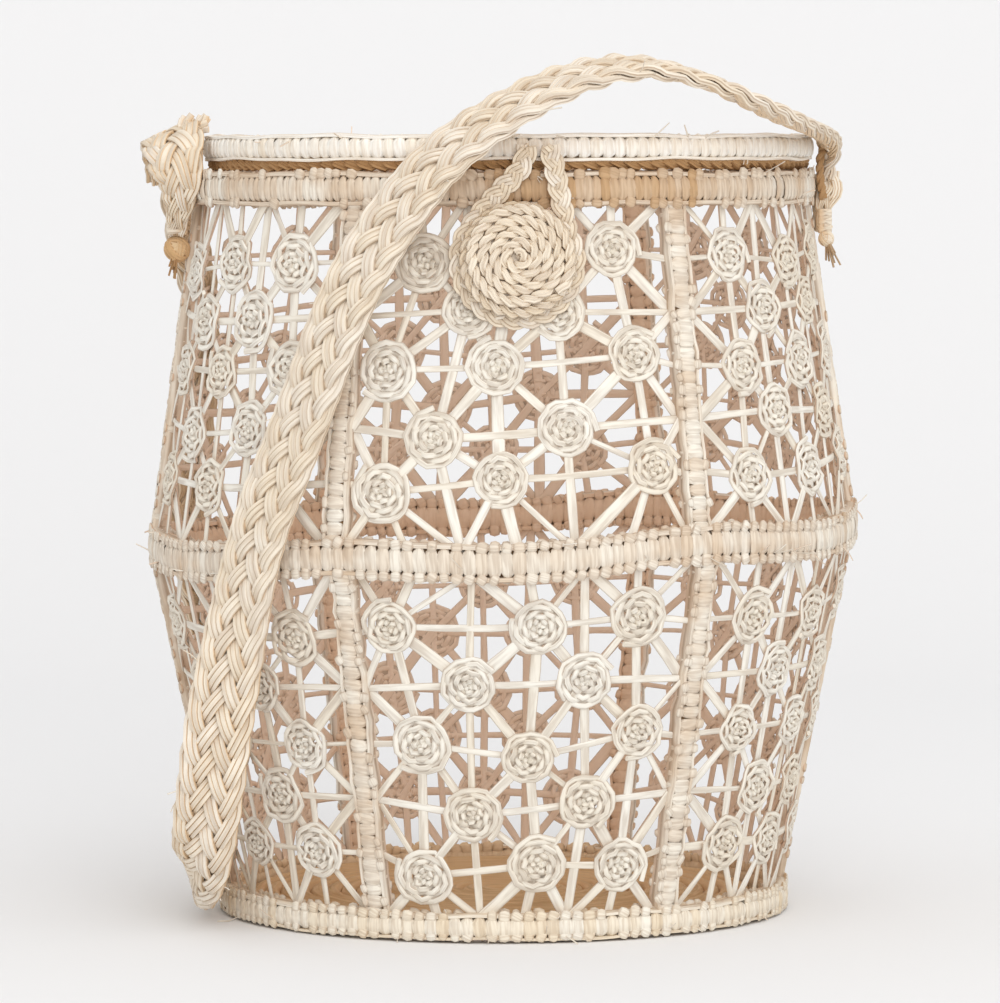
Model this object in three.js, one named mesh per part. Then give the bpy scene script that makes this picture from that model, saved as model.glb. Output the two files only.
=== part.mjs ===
// Openwork palm-straw basket bag: a two-tier barrel of lattice panels between wrapped rings and ribs,
// a hinged lid, a spiral button with a cord loop, and one long flat strap.
// Millimetres, +Z up. The origin is the middle of the underside, and the button is on the -Y side.
import * as THREE from 'three';

// Rings: outside radius of each, and the width and height of its wrapped section
const BASE_RADIUS = 113;
const WAIST_RADIUS = 140;
const RIM_RADIUS = 123;
const LID_RADIUS = 120;
const BASE_RING = { wide: 10, tall: 12 };
const WAIST_RING = { wide: 10, tall: 14 };
const RIM_RING = { wide: 9, tall: 13 };
const LID_RING = { wide: 9, tall: 11 };
const RING_CHAMFER = 3;
const RING_SEGMENTS = 36;

// Heights of the body
const WAIST_HEIGHT = 149; // middle of the waist ring
const RIM_TOP = 291;
const BASE_THICK = 8;
const BASE_EDGE_CHAMFER = 2;

// Walls: ribs and openwork panels, as many of each round every tier
const SIDES = 6;
const LOWER_TURN = 1.5; // degrees by which the lower tier's ribs stand to the right of the upper tier's
const RIB_WIDTH = 14;
const RIB_THICK = 6;
const RIB_CHAMFER = 2;
const PANEL_THICK = 3.5;
const PANEL_EDGE = 2.5;
const PANEL_FLARE = 0.025; // how much taller a panel is drawn at its sides, before it is bent
const ROSETTE_RADIUS = 11;
const SPOKE_WIDTH = 4.2;
const LAST_CELL = 4; // rosettes stand on columns and rows 0 to 4, and the edge is one step outside them

// Lid openwork: a hub and two rings of rosettes
const HUB_RADIUS = 20;
const LID_INNER_RING = 47;
const LID_OUTER_RING = 77;
const LID_ROSETTES = 12; // in each ring

// Button and closure loop
const BUTTON_RADIUS = 22.5;
const BUTTON_THICK = 8;
const BUTTON_ROUNDING = 3;
const SHANK_RADIUS = 5;
const SHANK_LENGTH = 4;
const BUTTON_SEGMENTS = 24;
const SHANK_SEGMENTS = 12;
const BUTTON_ROW = 4; // the rosette row that carries the button
const LOOP_CORD = 6; // diameter of the loop's cord
const LOOP_PLAY = 1; // between the loop and the button's edge
const LOOP_ANCHOR_SHIFT = 9; // the loop is sewn on a little to the right of the button
const LOOP_ANCHOR_SPREAD = 6; // from the middle of the anchor to each leg
const LOOP_TURN = { from: -130, to: 120, step: 25 }; // round the button, in degrees from straight down
const LOOP_RIM_SHARE = 0.6; // how far up each leg passes the rim
const LOOP_STEPS = 40;
const LOOP_SIDES = 8;

// Hinge lashings at the back
const LASHING_WIDTH = 10;
const LASHING_THICK = 2.5;
const LASHING_ANGLE = 10; // degrees to each side of the back
const LASHING_REACH = 9; // how far it lies on each ring

// Strap and its gathered ends
const STRAP_WIDTH = 26;
const STRAP_THICK = 7;
const STRAP_STEPS = 72;
const RIGHT_GATHER = { width: 10, run: 170 }; // the strap is drawn in to this width, over this run
const LEFT_GATHER = { width: 15, run: 35 };
const LEFT_EAR = { rise: 19, body: 16, width: 28, thick: 18 }; // rise is its top above the rim's top
const RIGHT_EAR = { rise: -5, body: 2, width: 18, thick: 9 };
const EAR_CROWN = 6; // the rounded stretch at its top
const EAR_CROWN_TAPER = 0.75; // its top's width and thickness against its body's
const EAR_SIDES = 12;
const EAR_DROP = 25; // the end of its tail below the rim's top
const EAR_TAIL = 9; // width and thickness of the tail
const EAR_TAIL_RUN = 9; // length of the even part of the tail
const KNOT_RADIUS = 5.5;
const KNOT_SIDES = 12;
const KNOT_BANDS = 8;

// Clearances
const SEAT = 0.3; // between pieces that are sewn or bound together
const LID_GAP = 0.8; // between the rim and the resting lid

// The strap's route: where its middle runs, and which way its outer face looks there.
// It leaves the right ear, arches over the front of the lid, hangs down the front left,
// turns round the left of the base and climbs the back left to the left ear.
const STRAP_ROUTE = [
  [127.8, 0, 287.1, 1, 0, 0],
  [128.4, -0.8, 295, 1, 0, 0.25],
  [127.5, -13, 301.5, 0.75, 0, 0.66],
  [121.5, -42.5, 305.5, 0.4, -0.1, 0.91],
  [106, -80, 310.5, 0.25, -0.15, 0.95],
  [90, -103, 317, 0.15, -0.2, 0.97],
  [71, -118.5, 324.5, 0.05, -0.2, 0.98],
  [48, -129.5, 329.5, 0, -0.22, 0.97],
  [28, -135, 327.5, -0.05, -0.3, 0.95],
  [9, -138, 320.5, -0.15, -0.42, 0.9],
  [-9, -138, 310.5, -0.3, -0.52, 0.8],
  [-21, -136.5, 302, -0.4, -0.6, 0.7],
  [-33, -134, 291, -0.5, -0.67, 0.55],
  [-46, -130.5, 274, -0.62, -0.71, 0.32],
  [-58, -127, 255, -0.66, -0.73, 0.17],
  [-68, -123, 233, -0.68, -0.73, 0.1],
  [-76, -119.5, 211, -0.68, -0.73, 0.1],
  [-85, -115.5, 187, -0.68, -0.73, 0.05],
  [-94, -112, 164, -0.68, -0.73, 0],
  [-100, -108, 143, -0.66, -0.75, 0],
  [-104.5, -105, 122, -0.55, -0.83, 0],
  [-108.5, -102.5, 101, -0.4, -0.92, 0],
  [-112.5, -98, 79, -0.28, -0.96, -0.05],
  [-116, -90, 52, -0.32, -0.93, -0.2],
  [-119, -78, 31, -0.55, -0.76, -0.35],
  [-120.5, -59, 20.5, -0.8, -0.5, -0.33],
  [-121.5, -33, 17.5, -0.95, -0.18, -0.22],
  [-121, -4, 20, -0.98, 0.08, -0.18],
  [-120, 25, 31, -0.95, 0.23, -0.18],
  [-117, 50, 51, -0.91, 0.38, -0.18],
  [-115.5, 65.5, 80, -0.87, 0.46, -0.16],
  [-119, 71, 113, -0.86, 0.5, -0.12],
  [-126, 74, 146, -0.86, 0.5, 0],
  [-122.5, 71, 182, -0.87, 0.48, 0.1],
  [-119.5, 64, 216, -0.88, 0.46, 0.1],
  [-120.5, 53, 246, -0.91, 0.4, 0.1],
  [-127, 36, 270, -0.95, 0.3, 0.08],
  [-133, 22.4, 290, -1, 0.05, 0.05],
];

const degrees = THREE.MathUtils.degToRad;

const straw = {
  wrapped: { color: 0xe8d9ba, roughness: 0.78, metalness: 0 },
  openwork: { color: 0xeaddc3, roughness: 0.74, metalness: 0 },
  braided: { color: 0xe6d6b4, roughness: 0.76, metalness: 0 },
  coiled: { color: 0xd9c39b, roughness: 0.82, metalness: 0 },
};

function piece(name, geometry, look) {
  const mesh = new THREE.Mesh(geometry, new THREE.MeshStandardMaterial(look));
  mesh.name = name;
  return mesh;
}

// Directions at an angle from the front: outwards, and to the right for someone who looks at the wall
const outward = (angle) => new THREE.Vector3(Math.sin(angle), -Math.cos(angle), 0);
const rightward = (angle) => new THREE.Vector3(Math.cos(angle), Math.sin(angle), 0);

function wallPoint(angle, radius, z) {
  return outward(angle).multiplyScalar(radius).setZ(z);
}

// A flat or round section with cut corners, as points from -half to half along both of its axes
function chamferedSection(width, thick, chamfer) {
  const [a, b] = [width / 2, thick / 2];
  return [
    [a - chamfer, -b], [a, chamfer - b], [a, b - chamfer], [a - chamfer, b],
    [chamfer - a, b], [-a, b - chamfer], [-a, chamfer - b], [chamfer - a, -b],
  ];
}

function roundSection(diameter, sides) {
  return Array.from({ length: sides }, (_, i) => {
    const turn = (2 * Math.PI * i) / sides;
    return [(diameter / 2) * Math.cos(turn), (diameter / 2) * Math.sin(turn)];
  });
}

// A closed solid through sections. A station has its centre, its two section axes and, where the
// solid swells or tapers, a scale for each axis; across x out points along the run.
function sweptSolid(section, stations) {
  const positions = [];
  const index = [];
  const count = section.length;
  for (const { centre, across, out, scale = [1, 1] } of stations) {
    for (const [a, b] of section) {
      const corner = centre.clone();
      corner.addScaledVector(across, a * scale[0]);
      corner.addScaledVector(out, b * scale[1]);
      positions.push(corner.x, corner.y, corner.z);
    }
  }
  for (let s = 0; s + 1 < stations.length; s++) {
    for (let i = 0; i < count; i++) {
      const [low, next] = [s * count + i, s * count + ((i + 1) % count)];
      index.push(low, next, next + count, low, next + count, low + count);
    }
  }
  const last = (stations.length - 1) * count;
  for (let i = 1; i + 1 < count; i++) {
    index.push(0, i + 1, i);
    index.push(last, last + i, last + i + 1);
  }
  const geometry = new THREE.BufferGeometry();
  geometry.setAttribute('position', new THREE.Float32BufferAttribute(positions, 3));
  geometry.setIndex(index);
  return geometry;
}

// Wrapped rings
function ringGeometry(outerRadius, bottom, { wide, tall }) {
  const section = chamferedSection(wide, tall, RING_CHAMFER);
  const middle = new THREE.Vector2(outerRadius - wide / 2, bottom + tall / 2);
  const profile = section.map(([a, b]) => new THREE.Vector2(a, b).add(middle));
  profile.push(profile[0].clone());
  return new THREE.LatheGeometry(profile, RING_SEGMENTS).rotateX(Math.PI / 2);
}

function baseDiscGeometry() {
  const radius = BASE_RADIUS - BASE_RING.wide - SEAT;
  const profile = [
    [0, 0],
    [radius, 0],
    [radius, BASE_THICK - BASE_EDGE_CHAMFER],
    [radius - BASE_EDGE_CHAMFER, BASE_THICK],
    [0, BASE_THICK],
  ];
  const points = profile.map(([r, z]) => new THREE.Vector2(r, z));
  return new THREE.LatheGeometry(points, RING_SEGMENTS).rotateX(Math.PI / 2);
}

// Tiers: the wall between two rings, which leans evenly from one to the other
function makeTier(name, turn, [bottom, bottomRadius], [top, topRadius]) {
  const lean = (topRadius - bottomRadius) / (top - bottom);
  const radiusAt = (z) => bottomRadius + lean * (z - bottom);
  return { name, turn, bottom: bottom + SEAT, top: top - SEAT, lean, radiusAt };
}

const waistBottom = WAIST_HEIGHT - WAIST_RING.tall / 2;
const waistTop = WAIST_HEIGHT + WAIST_RING.tall / 2;
const rimBottom = RIM_TOP - RIM_RING.tall;
const baseMiddle = BASE_RADIUS - BASE_RING.wide / 2;
const waistMiddle = WAIST_RADIUS - WAIST_RING.wide / 2;
const rimMiddle = RIM_RADIUS - RIM_RING.wide / 2;
const lowerTurn = degrees(LOWER_TURN);
const lowerTier = makeTier('lower', lowerTurn, [BASE_RING.tall, baseMiddle], [waistBottom, waistMiddle]);
const upperTier = makeTier('upper', 0, [waistTop, waistMiddle], [rimBottom, rimMiddle]);

const sideAngle = (2 * Math.PI) / SIDES;

function ribGeometry(tier, angle) {
  const stations = [tier.bottom, tier.top].map((z) => ({
    centre: wallPoint(angle, tier.radiusAt(z), z),
    across: rightward(angle),
    out: outward(angle).negate(),
  }));
  return sweptSolid(chamferedSection(RIB_WIDTH, RIB_THICK, RIB_CHAMFER), stations);
}

// Openwork: the opening inside a cell of the lattice. Its corners go round it anticlockwise; each side
// is drawn in by half a spoke or by the edge strip, and each rosette bites a round corner off.
const WIDEST_FACET = degrees(80);

function rosetteBite(corner, from, to) {
  const middle = new THREE.Vector2(corner.x, corner.y);
  const start = from.clone().sub(middle).angle();
  const sweep = THREE.MathUtils.euclideanModulo(start - to.clone().sub(middle).angle(), 2 * Math.PI);
  const facets = Math.ceil(sweep / WIDEST_FACET);
  return Array.from({ length: facets + 1 }, (_, i) => {
    const turn = start - (sweep * i) / facets;
    return new THREE.Vector2(Math.cos(turn), Math.sin(turn)).multiplyScalar(corner.rosette).add(middle);
  });
}

function cellHole(corners) {
  const count = corners.length;
  const sides = corners.map((from, i) => {
    const to = corners[(i + 1) % count];
    const along = new THREE.Vector2(to.x - from.x, to.y - from.y).normalize();
    const inward = new THREE.Vector2(-along.y, along.x);
    const inset = from.edge && to.edge ? PANEL_EDGE : SPOKE_WIDTH / 2;
    const start = new THREE.Vector2(from.x, from.y).addScaledVector(inward, inset);
    return { along, start, inset };
  });
  const outline = [];
  corners.forEach((corner, i) => {
    const [before, after] = [sides[(i + count - 1) % count], sides[i]];
    if (corner.rosette) {
      const reachBefore = Math.sqrt(corner.rosette ** 2 - before.inset ** 2);
      const reachAfter = Math.sqrt(corner.rosette ** 2 - after.inset ** 2);
      const foot = new THREE.Vector2(corner.x, corner.y).sub(before.start).dot(before.along);
      const from = before.start.clone().addScaledVector(before.along, foot - reachBefore);
      const to = after.start.clone().addScaledVector(after.along, reachAfter);
      outline.push(...rosetteBite(corner, from, to));
    } else {
      const turn = before.along.cross(after.along);
      const reach = after.start.clone().sub(before.start).cross(after.along) / turn;
      outline.push(before.start.clone().addScaledVector(before.along, reach));
    }
  });
  return outline;
}

function latticeGeometry(outline, cells, place) {
  const shape = new THREE.Shape(outline);
  shape.holes = cells.map((corners) => new THREE.Path(cellHole(corners)));
  const geometry = new THREE.ExtrudeGeometry(shape, { depth: PANEL_THICK, bevelEnabled: false });
  const position = geometry.getAttribute('position');
  const corner = new THREE.Vector3();
  for (let i = 0; i < position.count; i++) {
    place(corner.fromBufferAttribute(position, i));
    position.setXYZ(i, corner.x, corner.y, corner.z);
  }
  return geometry;
}

// A wall panel is drawn laid flat, as wide as it is at half height, with its top and bottom edges
// hollowed so that no facet has three corners on one edge. Bent onto its tier, its edges are level.
function panelGeometry(tier, middleAngle) {
  const height = tier.top - tier.bottom;
  const ribHalf = RIB_WIDTH / 2 + SEAT;
  const halfAngleAt = (z) => sideAngle / 2 - Math.asin(ribHalf / tier.radiusAt(z));
  const middleHeight = tier.bottom + height / 2;
  const width = 2 * tier.radiusAt(middleHeight) * halfAngleAt(middleHeight);
  const flareAt = (x) => 1 + PANEL_FLARE * (x / (width / 2)) ** 2;
  const steps = LAST_CELL + 2;
  const onEdge = (step) => step < 0 || step > LAST_CELL;
  const gridPoint = (column, row) => {
    const x = width * ((column + 1) / steps - 0.5);
    const y = height * ((row + 1) / steps - 0.5) * flareAt(x);
    const edge = onEdge(column) || onEdge(row);
    return { x, y, edge, rosette: edge ? 0 : ROSETTE_RADIUS };
  };
  const cells = [];
  for (let row = -1; row <= LAST_CELL + 1; row++) {
    for (let column = -1; column <= LAST_CELL + 1; column++) {
      if ((row + column) % 2 === 0) continue;
      const around = [[column, row - 1], [column + 1, row], [column, row + 1], [column - 1, row]];
      const inside = around.filter((cell) => cell.every((step) => step >= -1 && step <= LAST_CELL + 1));
      cells.push(inside.map(([c, r]) => gridPoint(c, r)));
    }
  }
  const columns = Array.from({ length: steps + 1 }, (_, i) => i - 1);
  const bottomEdge = columns.map((column) => gridPoint(column, -1));
  const topEdge = columns.map((column) => gridPoint(column, LAST_CELL + 1)).reverse();
  const outline = [...topEdge, ...bottomEdge].map(({ x, y }) => new THREE.Vector2(x, y));
  return latticeGeometry(outline, cells, (corner) => {
    const z = middleHeight + corner.y / flareAt(corner.x);
    const angle = middleAngle + (corner.x / (width / 2)) * halfAngleAt(z);
    corner.copy(wallPoint(angle, tier.radiusAt(z) - PANEL_THICK / 2 + corner.z, z));
  });
}

function tierPieces(tier) {
  const pieces = [];
  for (let side = 0; side < SIDES; side++) {
    const panelAngle = tier.turn + side * sideAngle;
    const ribAngle = panelAngle + sideAngle / 2;
    pieces.push(piece(`${tier.name}_panel_${side + 1}`, panelGeometry(tier, panelAngle), straw.openwork));
    pieces.push(piece(`${tier.name}_rib_${side + 1}`, ribGeometry(tier, ribAngle), straw.wrapped));
  }
  return pieces;
}

// Lid
const lidBottom = RIM_TOP + LID_GAP;
const lidMiddle = lidBottom + LID_RING.tall / 2;

function lidPanelGeometry() {
  const radius = LID_RADIUS - LID_RING.wide - SEAT;
  const ringPoint = (distance, turn, rosette) => ({
    x: distance * Math.cos(degrees(turn)),
    y: distance * Math.sin(degrees(turn)),
    edge: distance === radius,
    rosette,
  });
  const hub = ringPoint(0, 0, HUB_RADIUS);
  const step = 360 / LID_ROSETTES;
  const inner = (place) => ringPoint(LID_INNER_RING, place * step, ROSETTE_RADIUS);
  const outer = (place) => ringPoint(LID_OUTER_RING, (place + 0.5) * step, ROSETTE_RADIUS);
  const rim = (place) => ringPoint(radius, place * step, 0);
  const cells = [];
  for (let place = 0; place < LID_ROSETTES; place++) {
    cells.push([hub, inner(place), outer(place), inner(place + 1)]);
    cells.push([inner(place), outer(place - 1), rim(place), outer(place)]);
    cells.push([outer(place), rim(place), rim(place + 1)]);
  }
  const outline = Array.from({ length: RING_SEGMENTS }, (_, i) => {
    const { x, y } = rim((LID_ROSETTES * i) / RING_SEGMENTS);
    return new THREE.Vector2(x, y);
  });
  return latticeGeometry(outline, cells, (corner) => {
    corner.z += lidMiddle - PANEL_THICK / 2;
  });
}

// Button, square to the leaning wall on one of the front panel's rosettes
const rowHeight = (upperTier.top - upperTier.bottom) / (LAST_CELL + 2);
const buttonHeight = upperTier.bottom + (BUTTON_ROW + 1) * rowHeight;
const wallFace = upperTier.radiusAt(buttonHeight) + PANEL_THICK / 2;

function buttonGroup() {
  const shank = new THREE.CylinderGeometry(SHANK_RADIUS, SHANK_RADIUS, SHANK_LENGTH, SHANK_SEGMENTS);
  shank.translate(0, SEAT + SHANK_LENGTH / 2, 0);
  const back = 2 * SEAT + SHANK_LENGTH;
  const profile = [
    [0, back],
    [BUTTON_RADIUS - BUTTON_ROUNDING, back],
    [BUTTON_RADIUS, back + BUTTON_ROUNDING],
    [BUTTON_RADIUS, back + BUTTON_THICK - BUTTON_ROUNDING],
    [BUTTON_RADIUS - BUTTON_ROUNDING, back + BUTTON_THICK],
    [0, back + BUTTON_THICK],
  ];
  const disc = new THREE.LatheGeometry(profile.map(([r, y]) => new THREE.Vector2(r, y)), BUTTON_SEGMENTS);
  const group = new THREE.Group();
  group.add(piece('button_shank', shank, straw.braided), piece('button_disc', disc, straw.braided));
  group.position.set(0, -wallFace, buttonHeight);
  group.rotation.x = Math.PI + Math.atan(upperTier.lean);
  return group;
}

// Closure loop: a cord that lies round the button, with both legs sewn to the lid's front edge
function loopGeometry() {
  const cordRadius = LOOP_CORD / 2;
  const turnRadius = BUTTON_RADIUS + LOOP_PLAY + cordRadius;
  const wallClear = SEAT + cordRadius;
  const depthAt = (z) => -Math.max(RIM_RADIUS, upperTier.radiusAt(z) + PANEL_THICK / 2) - wallClear;
  const route = [];
  for (let turn = LOOP_TURN.from; turn <= LOOP_TURN.to; turn += LOOP_TURN.step) {
    const z = buttonHeight - turnRadius * Math.cos(degrees(turn));
    route.push(new THREE.Vector3(turnRadius * Math.sin(degrees(turn)), depthAt(z), z));
  }
  const anchorDepth = -LID_RADIUS - wallClear;
  const legX = (side) => LOOP_ANCHOR_SHIFT + side * LOOP_ANCHOR_SPREAD;
  const leg = (side) => new THREE.Vector3(legX(side), anchorDepth, lidMiddle);
  const atRim = (side, end) => end.clone().lerp(leg(side), LOOP_RIM_SHARE).setY(depthAt(RIM_TOP));
  const [first, last] = [route[0], route[route.length - 1]];
  route.unshift(leg(-1), atRim(-1, first));
  route.push(atRim(1, last), leg(1));
  const curve = new THREE.CatmullRomCurve3(route);
  const frames = curve.computeFrenetFrames(LOOP_STEPS);
  const stations = curve.getSpacedPoints(LOOP_STEPS).map((centre, i) => ({
    centre,
    across: frames.normals[i],
    out: frames.binormals[i],
  }));
  return sweptSolid(roundSection(LOOP_CORD, LOOP_SIDES), stations);
}

// Hinge lashings: flat straw bindings over the backs of both rings
function lashingGeometry(angle) {
  const rimOut = RIM_RADIUS + SEAT + LASHING_THICK / 2;
  const lidOut = LID_RADIUS + SEAT + LASHING_THICK / 2;
  const run = [
    [rimOut, RIM_TOP - LASHING_REACH],
    [rimOut, RIM_TOP - RING_CHAMFER / 2],
    [lidOut, lidBottom + RING_CHAMFER],
    [lidOut, lidBottom + LASHING_REACH],
  ];
  const stations = run.map(([radius, z]) => ({
    centre: wallPoint(angle, radius, z),
    across: rightward(angle),
    out: outward(angle).negate(),
  }));
  return sweptSolid(chamferedSection(LASHING_WIDTH, LASHING_THICK, LASHING_THICK / 4), stations);
}

// Strap: a flat band along its route, with its outer face turned as the route says
function gatheredWidth(fromEnd, gather) {
  const spread = THREE.MathUtils.smoothstep(fromEnd, 0, gather.run);
  return THREE.MathUtils.lerp(gather.width, STRAP_WIDTH, spread);
}

function strapGeometry() {
  const curve = new THREE.CatmullRomCurve3(STRAP_ROUTE.map(([x, y, z]) => new THREE.Vector3(x, y, z)));
  const faces = new THREE.CatmullRomCurve3(STRAP_ROUTE.map(([, , , x, y, z]) => new THREE.Vector3(x, y, z)));
  const length = curve.getLength();
  const stations = [];
  for (let step = 0; step <= STRAP_STEPS; step++) {
    const t = curve.getUtoTmapping(step / STRAP_STEPS);
    const along = curve.getTangent(t);
    const across = along.clone().cross(faces.getPoint(t)).normalize();
    const out = along.clone().cross(across);
    const run = (length * step) / STRAP_STEPS;
    const width = Math.min(gatheredWidth(run, RIGHT_GATHER), gatheredWidth(length - run, LEFT_GATHER));
    stations.push({ centre: curve.getPoint(t), across, out, scale: [width / STRAP_WIDTH, 1] });
  }
  return sweptSolid(chamferedSection(STRAP_WIDTH, STRAP_THICK, STRAP_THICK / 4), stations);
}

// Gathered strap ends outside the rim, each narrowing down to a tail with a knot under it
function earPieces(name, side, { rise, body, width, thick }) {
  const angle = (side * Math.PI) / 2;
  const top = RIM_TOP + rise;
  const tailBottom = RIM_TOP - EAR_DROP;
  const ribFaceAt = (z) => upperTier.radiusAt(z) + RIB_THICK / 2 + SEAT;
  const level = (z, wide, deep) => ({
    centre: wallPoint(angle, Math.max(RIM_RADIUS + SEAT, ribFaceAt(z)) + deep / 2, z),
    across: rightward(angle),
    out: outward(angle).negate(),
    scale: [wide, deep],
  });
  const stations = [
    level(tailBottom, EAR_TAIL, EAR_TAIL),
    level(tailBottom + EAR_TAIL_RUN, EAR_TAIL, EAR_TAIL),
    level(top - EAR_CROWN - body, width, thick),
    level(top - EAR_CROWN, width, thick),
    level(top, width * EAR_CROWN_TAPER, thick * EAR_CROWN_TAPER),
  ];
  const ear = piece(`strap_ear_${name}`, sweptSolid(roundSection(1, EAR_SIDES), stations), straw.braided);
  const ball = new THREE.SphereGeometry(KNOT_RADIUS, KNOT_SIDES, KNOT_BANDS);
  const knot = piece(`strap_knot_${name}`, ball, straw.braided);
  const knotHeight = tailBottom - SEAT - KNOT_RADIUS;
  knot.position.copy(wallPoint(angle, ribFaceAt(knotHeight - KNOT_RADIUS) + KNOT_RADIUS, knotHeight));
  return [ear, knot];
}

const bag = new THREE.Group();
bag.add(piece('base_disc', baseDiscGeometry(), straw.coiled));
bag.add(piece('base_ring', ringGeometry(BASE_RADIUS, 0, BASE_RING), straw.wrapped));
bag.add(piece('waist_ring', ringGeometry(WAIST_RADIUS, waistBottom, WAIST_RING), straw.wrapped));
bag.add(piece('rim_ring', ringGeometry(RIM_RADIUS, rimBottom, RIM_RING), straw.wrapped));
bag.add(...tierPieces(lowerTier), ...tierPieces(upperTier));
bag.add(buttonGroup());
bag.add(...earPieces('left', -1, LEFT_EAR), ...earPieces('right', 1, RIGHT_EAR));
bag.add(piece('strap', strapGeometry(), straw.braided));

const lid = new THREE.Group();
lid.add(piece('lid_ring', ringGeometry(LID_RADIUS, lidBottom, LID_RING), straw.wrapped));
lid.add(piece('lid_panel', lidPanelGeometry(), straw.openwork));
lid.add(piece('closure_loop', loopGeometry(), straw.braided));
for (const [name, side] of [['left', 1], ['right', -1]]) {
  const angle = Math.PI + side * degrees(LASHING_ANGLE);
  lid.add(piece(`hinge_lashing_${name}`, lashingGeometry(angle), straw.braided));
}
bag.add(lid);

export default bag;
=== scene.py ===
"""An openwork palm-straw basket bag: wrapped rings and ribs, woven rosettes, a lid, a button and a strap.

Metres, +Z up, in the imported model's frame. Angles round the basket start at the front (-Y) and
turn towards +X.
"""
import math

import bpy
import numpy as np
from mathutils import Matrix, Vector


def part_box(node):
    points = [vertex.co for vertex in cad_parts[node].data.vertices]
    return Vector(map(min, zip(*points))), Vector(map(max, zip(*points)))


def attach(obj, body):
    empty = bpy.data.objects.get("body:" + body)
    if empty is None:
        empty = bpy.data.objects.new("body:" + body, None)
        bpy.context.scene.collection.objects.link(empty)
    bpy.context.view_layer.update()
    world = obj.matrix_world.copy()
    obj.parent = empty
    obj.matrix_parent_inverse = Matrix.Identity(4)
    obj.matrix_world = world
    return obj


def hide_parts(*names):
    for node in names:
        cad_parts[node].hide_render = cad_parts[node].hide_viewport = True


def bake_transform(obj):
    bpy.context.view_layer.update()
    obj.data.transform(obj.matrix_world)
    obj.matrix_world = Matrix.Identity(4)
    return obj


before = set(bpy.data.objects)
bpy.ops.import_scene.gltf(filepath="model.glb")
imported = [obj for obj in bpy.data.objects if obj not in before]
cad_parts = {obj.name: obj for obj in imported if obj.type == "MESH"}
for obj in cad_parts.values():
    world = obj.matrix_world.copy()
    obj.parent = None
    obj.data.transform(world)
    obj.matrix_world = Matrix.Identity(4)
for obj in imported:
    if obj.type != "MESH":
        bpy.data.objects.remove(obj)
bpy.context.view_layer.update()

# Camera: the photograph's long lens, a little to the left of the button and level with the rim
IMAGE_WIDTH = 1000
SENSOR = 36.0
FOCAL_PIXELS = 5706
CAMERA_DISTANCE = 2.25
CAMERA_TURN = math.radians(2.5)
CAMERA_HEIGHT = 0.297
AIM_HEIGHT = 0.1605
AIM_LEFT = 0.0012
CAMERA_ROLL = math.radians(-0.1)
CAMERA_REACH = 50

# Wraps: turns of straw round a core, drawn in by a notch near both their edges
WRAP_PITCH = 0.0047
RIM_PITCH = 0.0034
WRAP_STRAW = 0.0007
WRAP_SPREAD = 0.62
WRAP_FLATNESS = 0.4
WRAP_LEAN = 0.06
NOTCH_DEPTH = 0.6
NOTCH_PLACE = 0.72
NOTCH_INNER = 0.62
NOTCH_REACH = 0.13
# The core is painted in full shade colour: painted shade that shows between the wraps
SHADE_CORE_TALL = 0.8
SHADE_CORE_DEEP = 0.6

# Hoops along the wraps' edges, and the stitches over these: their length, thickness and width, and how
# high their middles stay over the floor
HOOP_SHARE = 0.19
HOOP_WOBBLE = 0.0004
HOOP_WAVES = (7, 12, 23)
HOOP_DEEP = 0.95
STITCH = (0.0034, 0.0012, 0.0036)
STITCH_REACH = 0.85 * STITCH[0]
STITCH_ROUND = 0.75
STITCH_OUT = 0.42
STITCH_SPREAD = 0.1

# Rings: how tall their wraps are, the share of places that is stitched, and how uneven the work is
RING_WIDE = 0.0095
BASE_TRIM = 0.0016
WAIST_TALL = 0.0142
RIM_TALL = 0.0132
LID_TALL = 0.0104
LID_BAND_RISE = 0.0014
BASE_STITCHES = 0.8
WAIST_STITCHES = 0.9
RIM_STITCHES = 0.35
LID_STITCHES = 0.0
RING_LEAN_SPREAD = 0.04
RING_SIZE_SPREAD = 0.03
RING_SLANT = (0.2, 0.2)
WAIST_SAG = 0.0032
WAIST_TILT = 0.0045

# Ribs: their wraps, the straws along their edges, and their stitches' size beside a ring's
RIB_WRAP = 0.0104
RIB_HOOP = 0.0022
RIB_DEEP = 0.0070
RIB_HALF = 0.0073
RIB_STITCH = (0.8, 1, 0.9)
RIB_STITCHES = 0.4
RIB_LEAN_SPREAD = 0.07
RIB_SIZE_SPREAD = 0.05
RIB_SLANT = (0.2, 0.3)

# Walls: six sides, each a grid with rosettes on every second place and spokes between them.
# A straw's unevenness is its spread and the least and most that it may be
SIDES = 6
SIDE_ANGLE = 2 * math.pi / SIDES
LOWER_TURN = math.radians(1.5)
LAST_CELL = 4
UPRIGHT_WIDTH = 0.0034
LEVEL_WIDTH = 0.0026
DIAGONAL_WIDTH = 0.0036
UPRIGHT_OFF = -0.0003
LEVEL_OFF = 0.0001
DIAGONAL_OFF = 0.0006
SPOKE_THICK = 0.0009
SPOKE_TUCK = 0.0035
SPOKE_STATIONS = (0, 0.34, 0.67)
SPOKE_UNEVEN = (0.2, 0.6, 1.4)
SPOKE_WAVER = (0.06, 0.8, 1.2)

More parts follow.
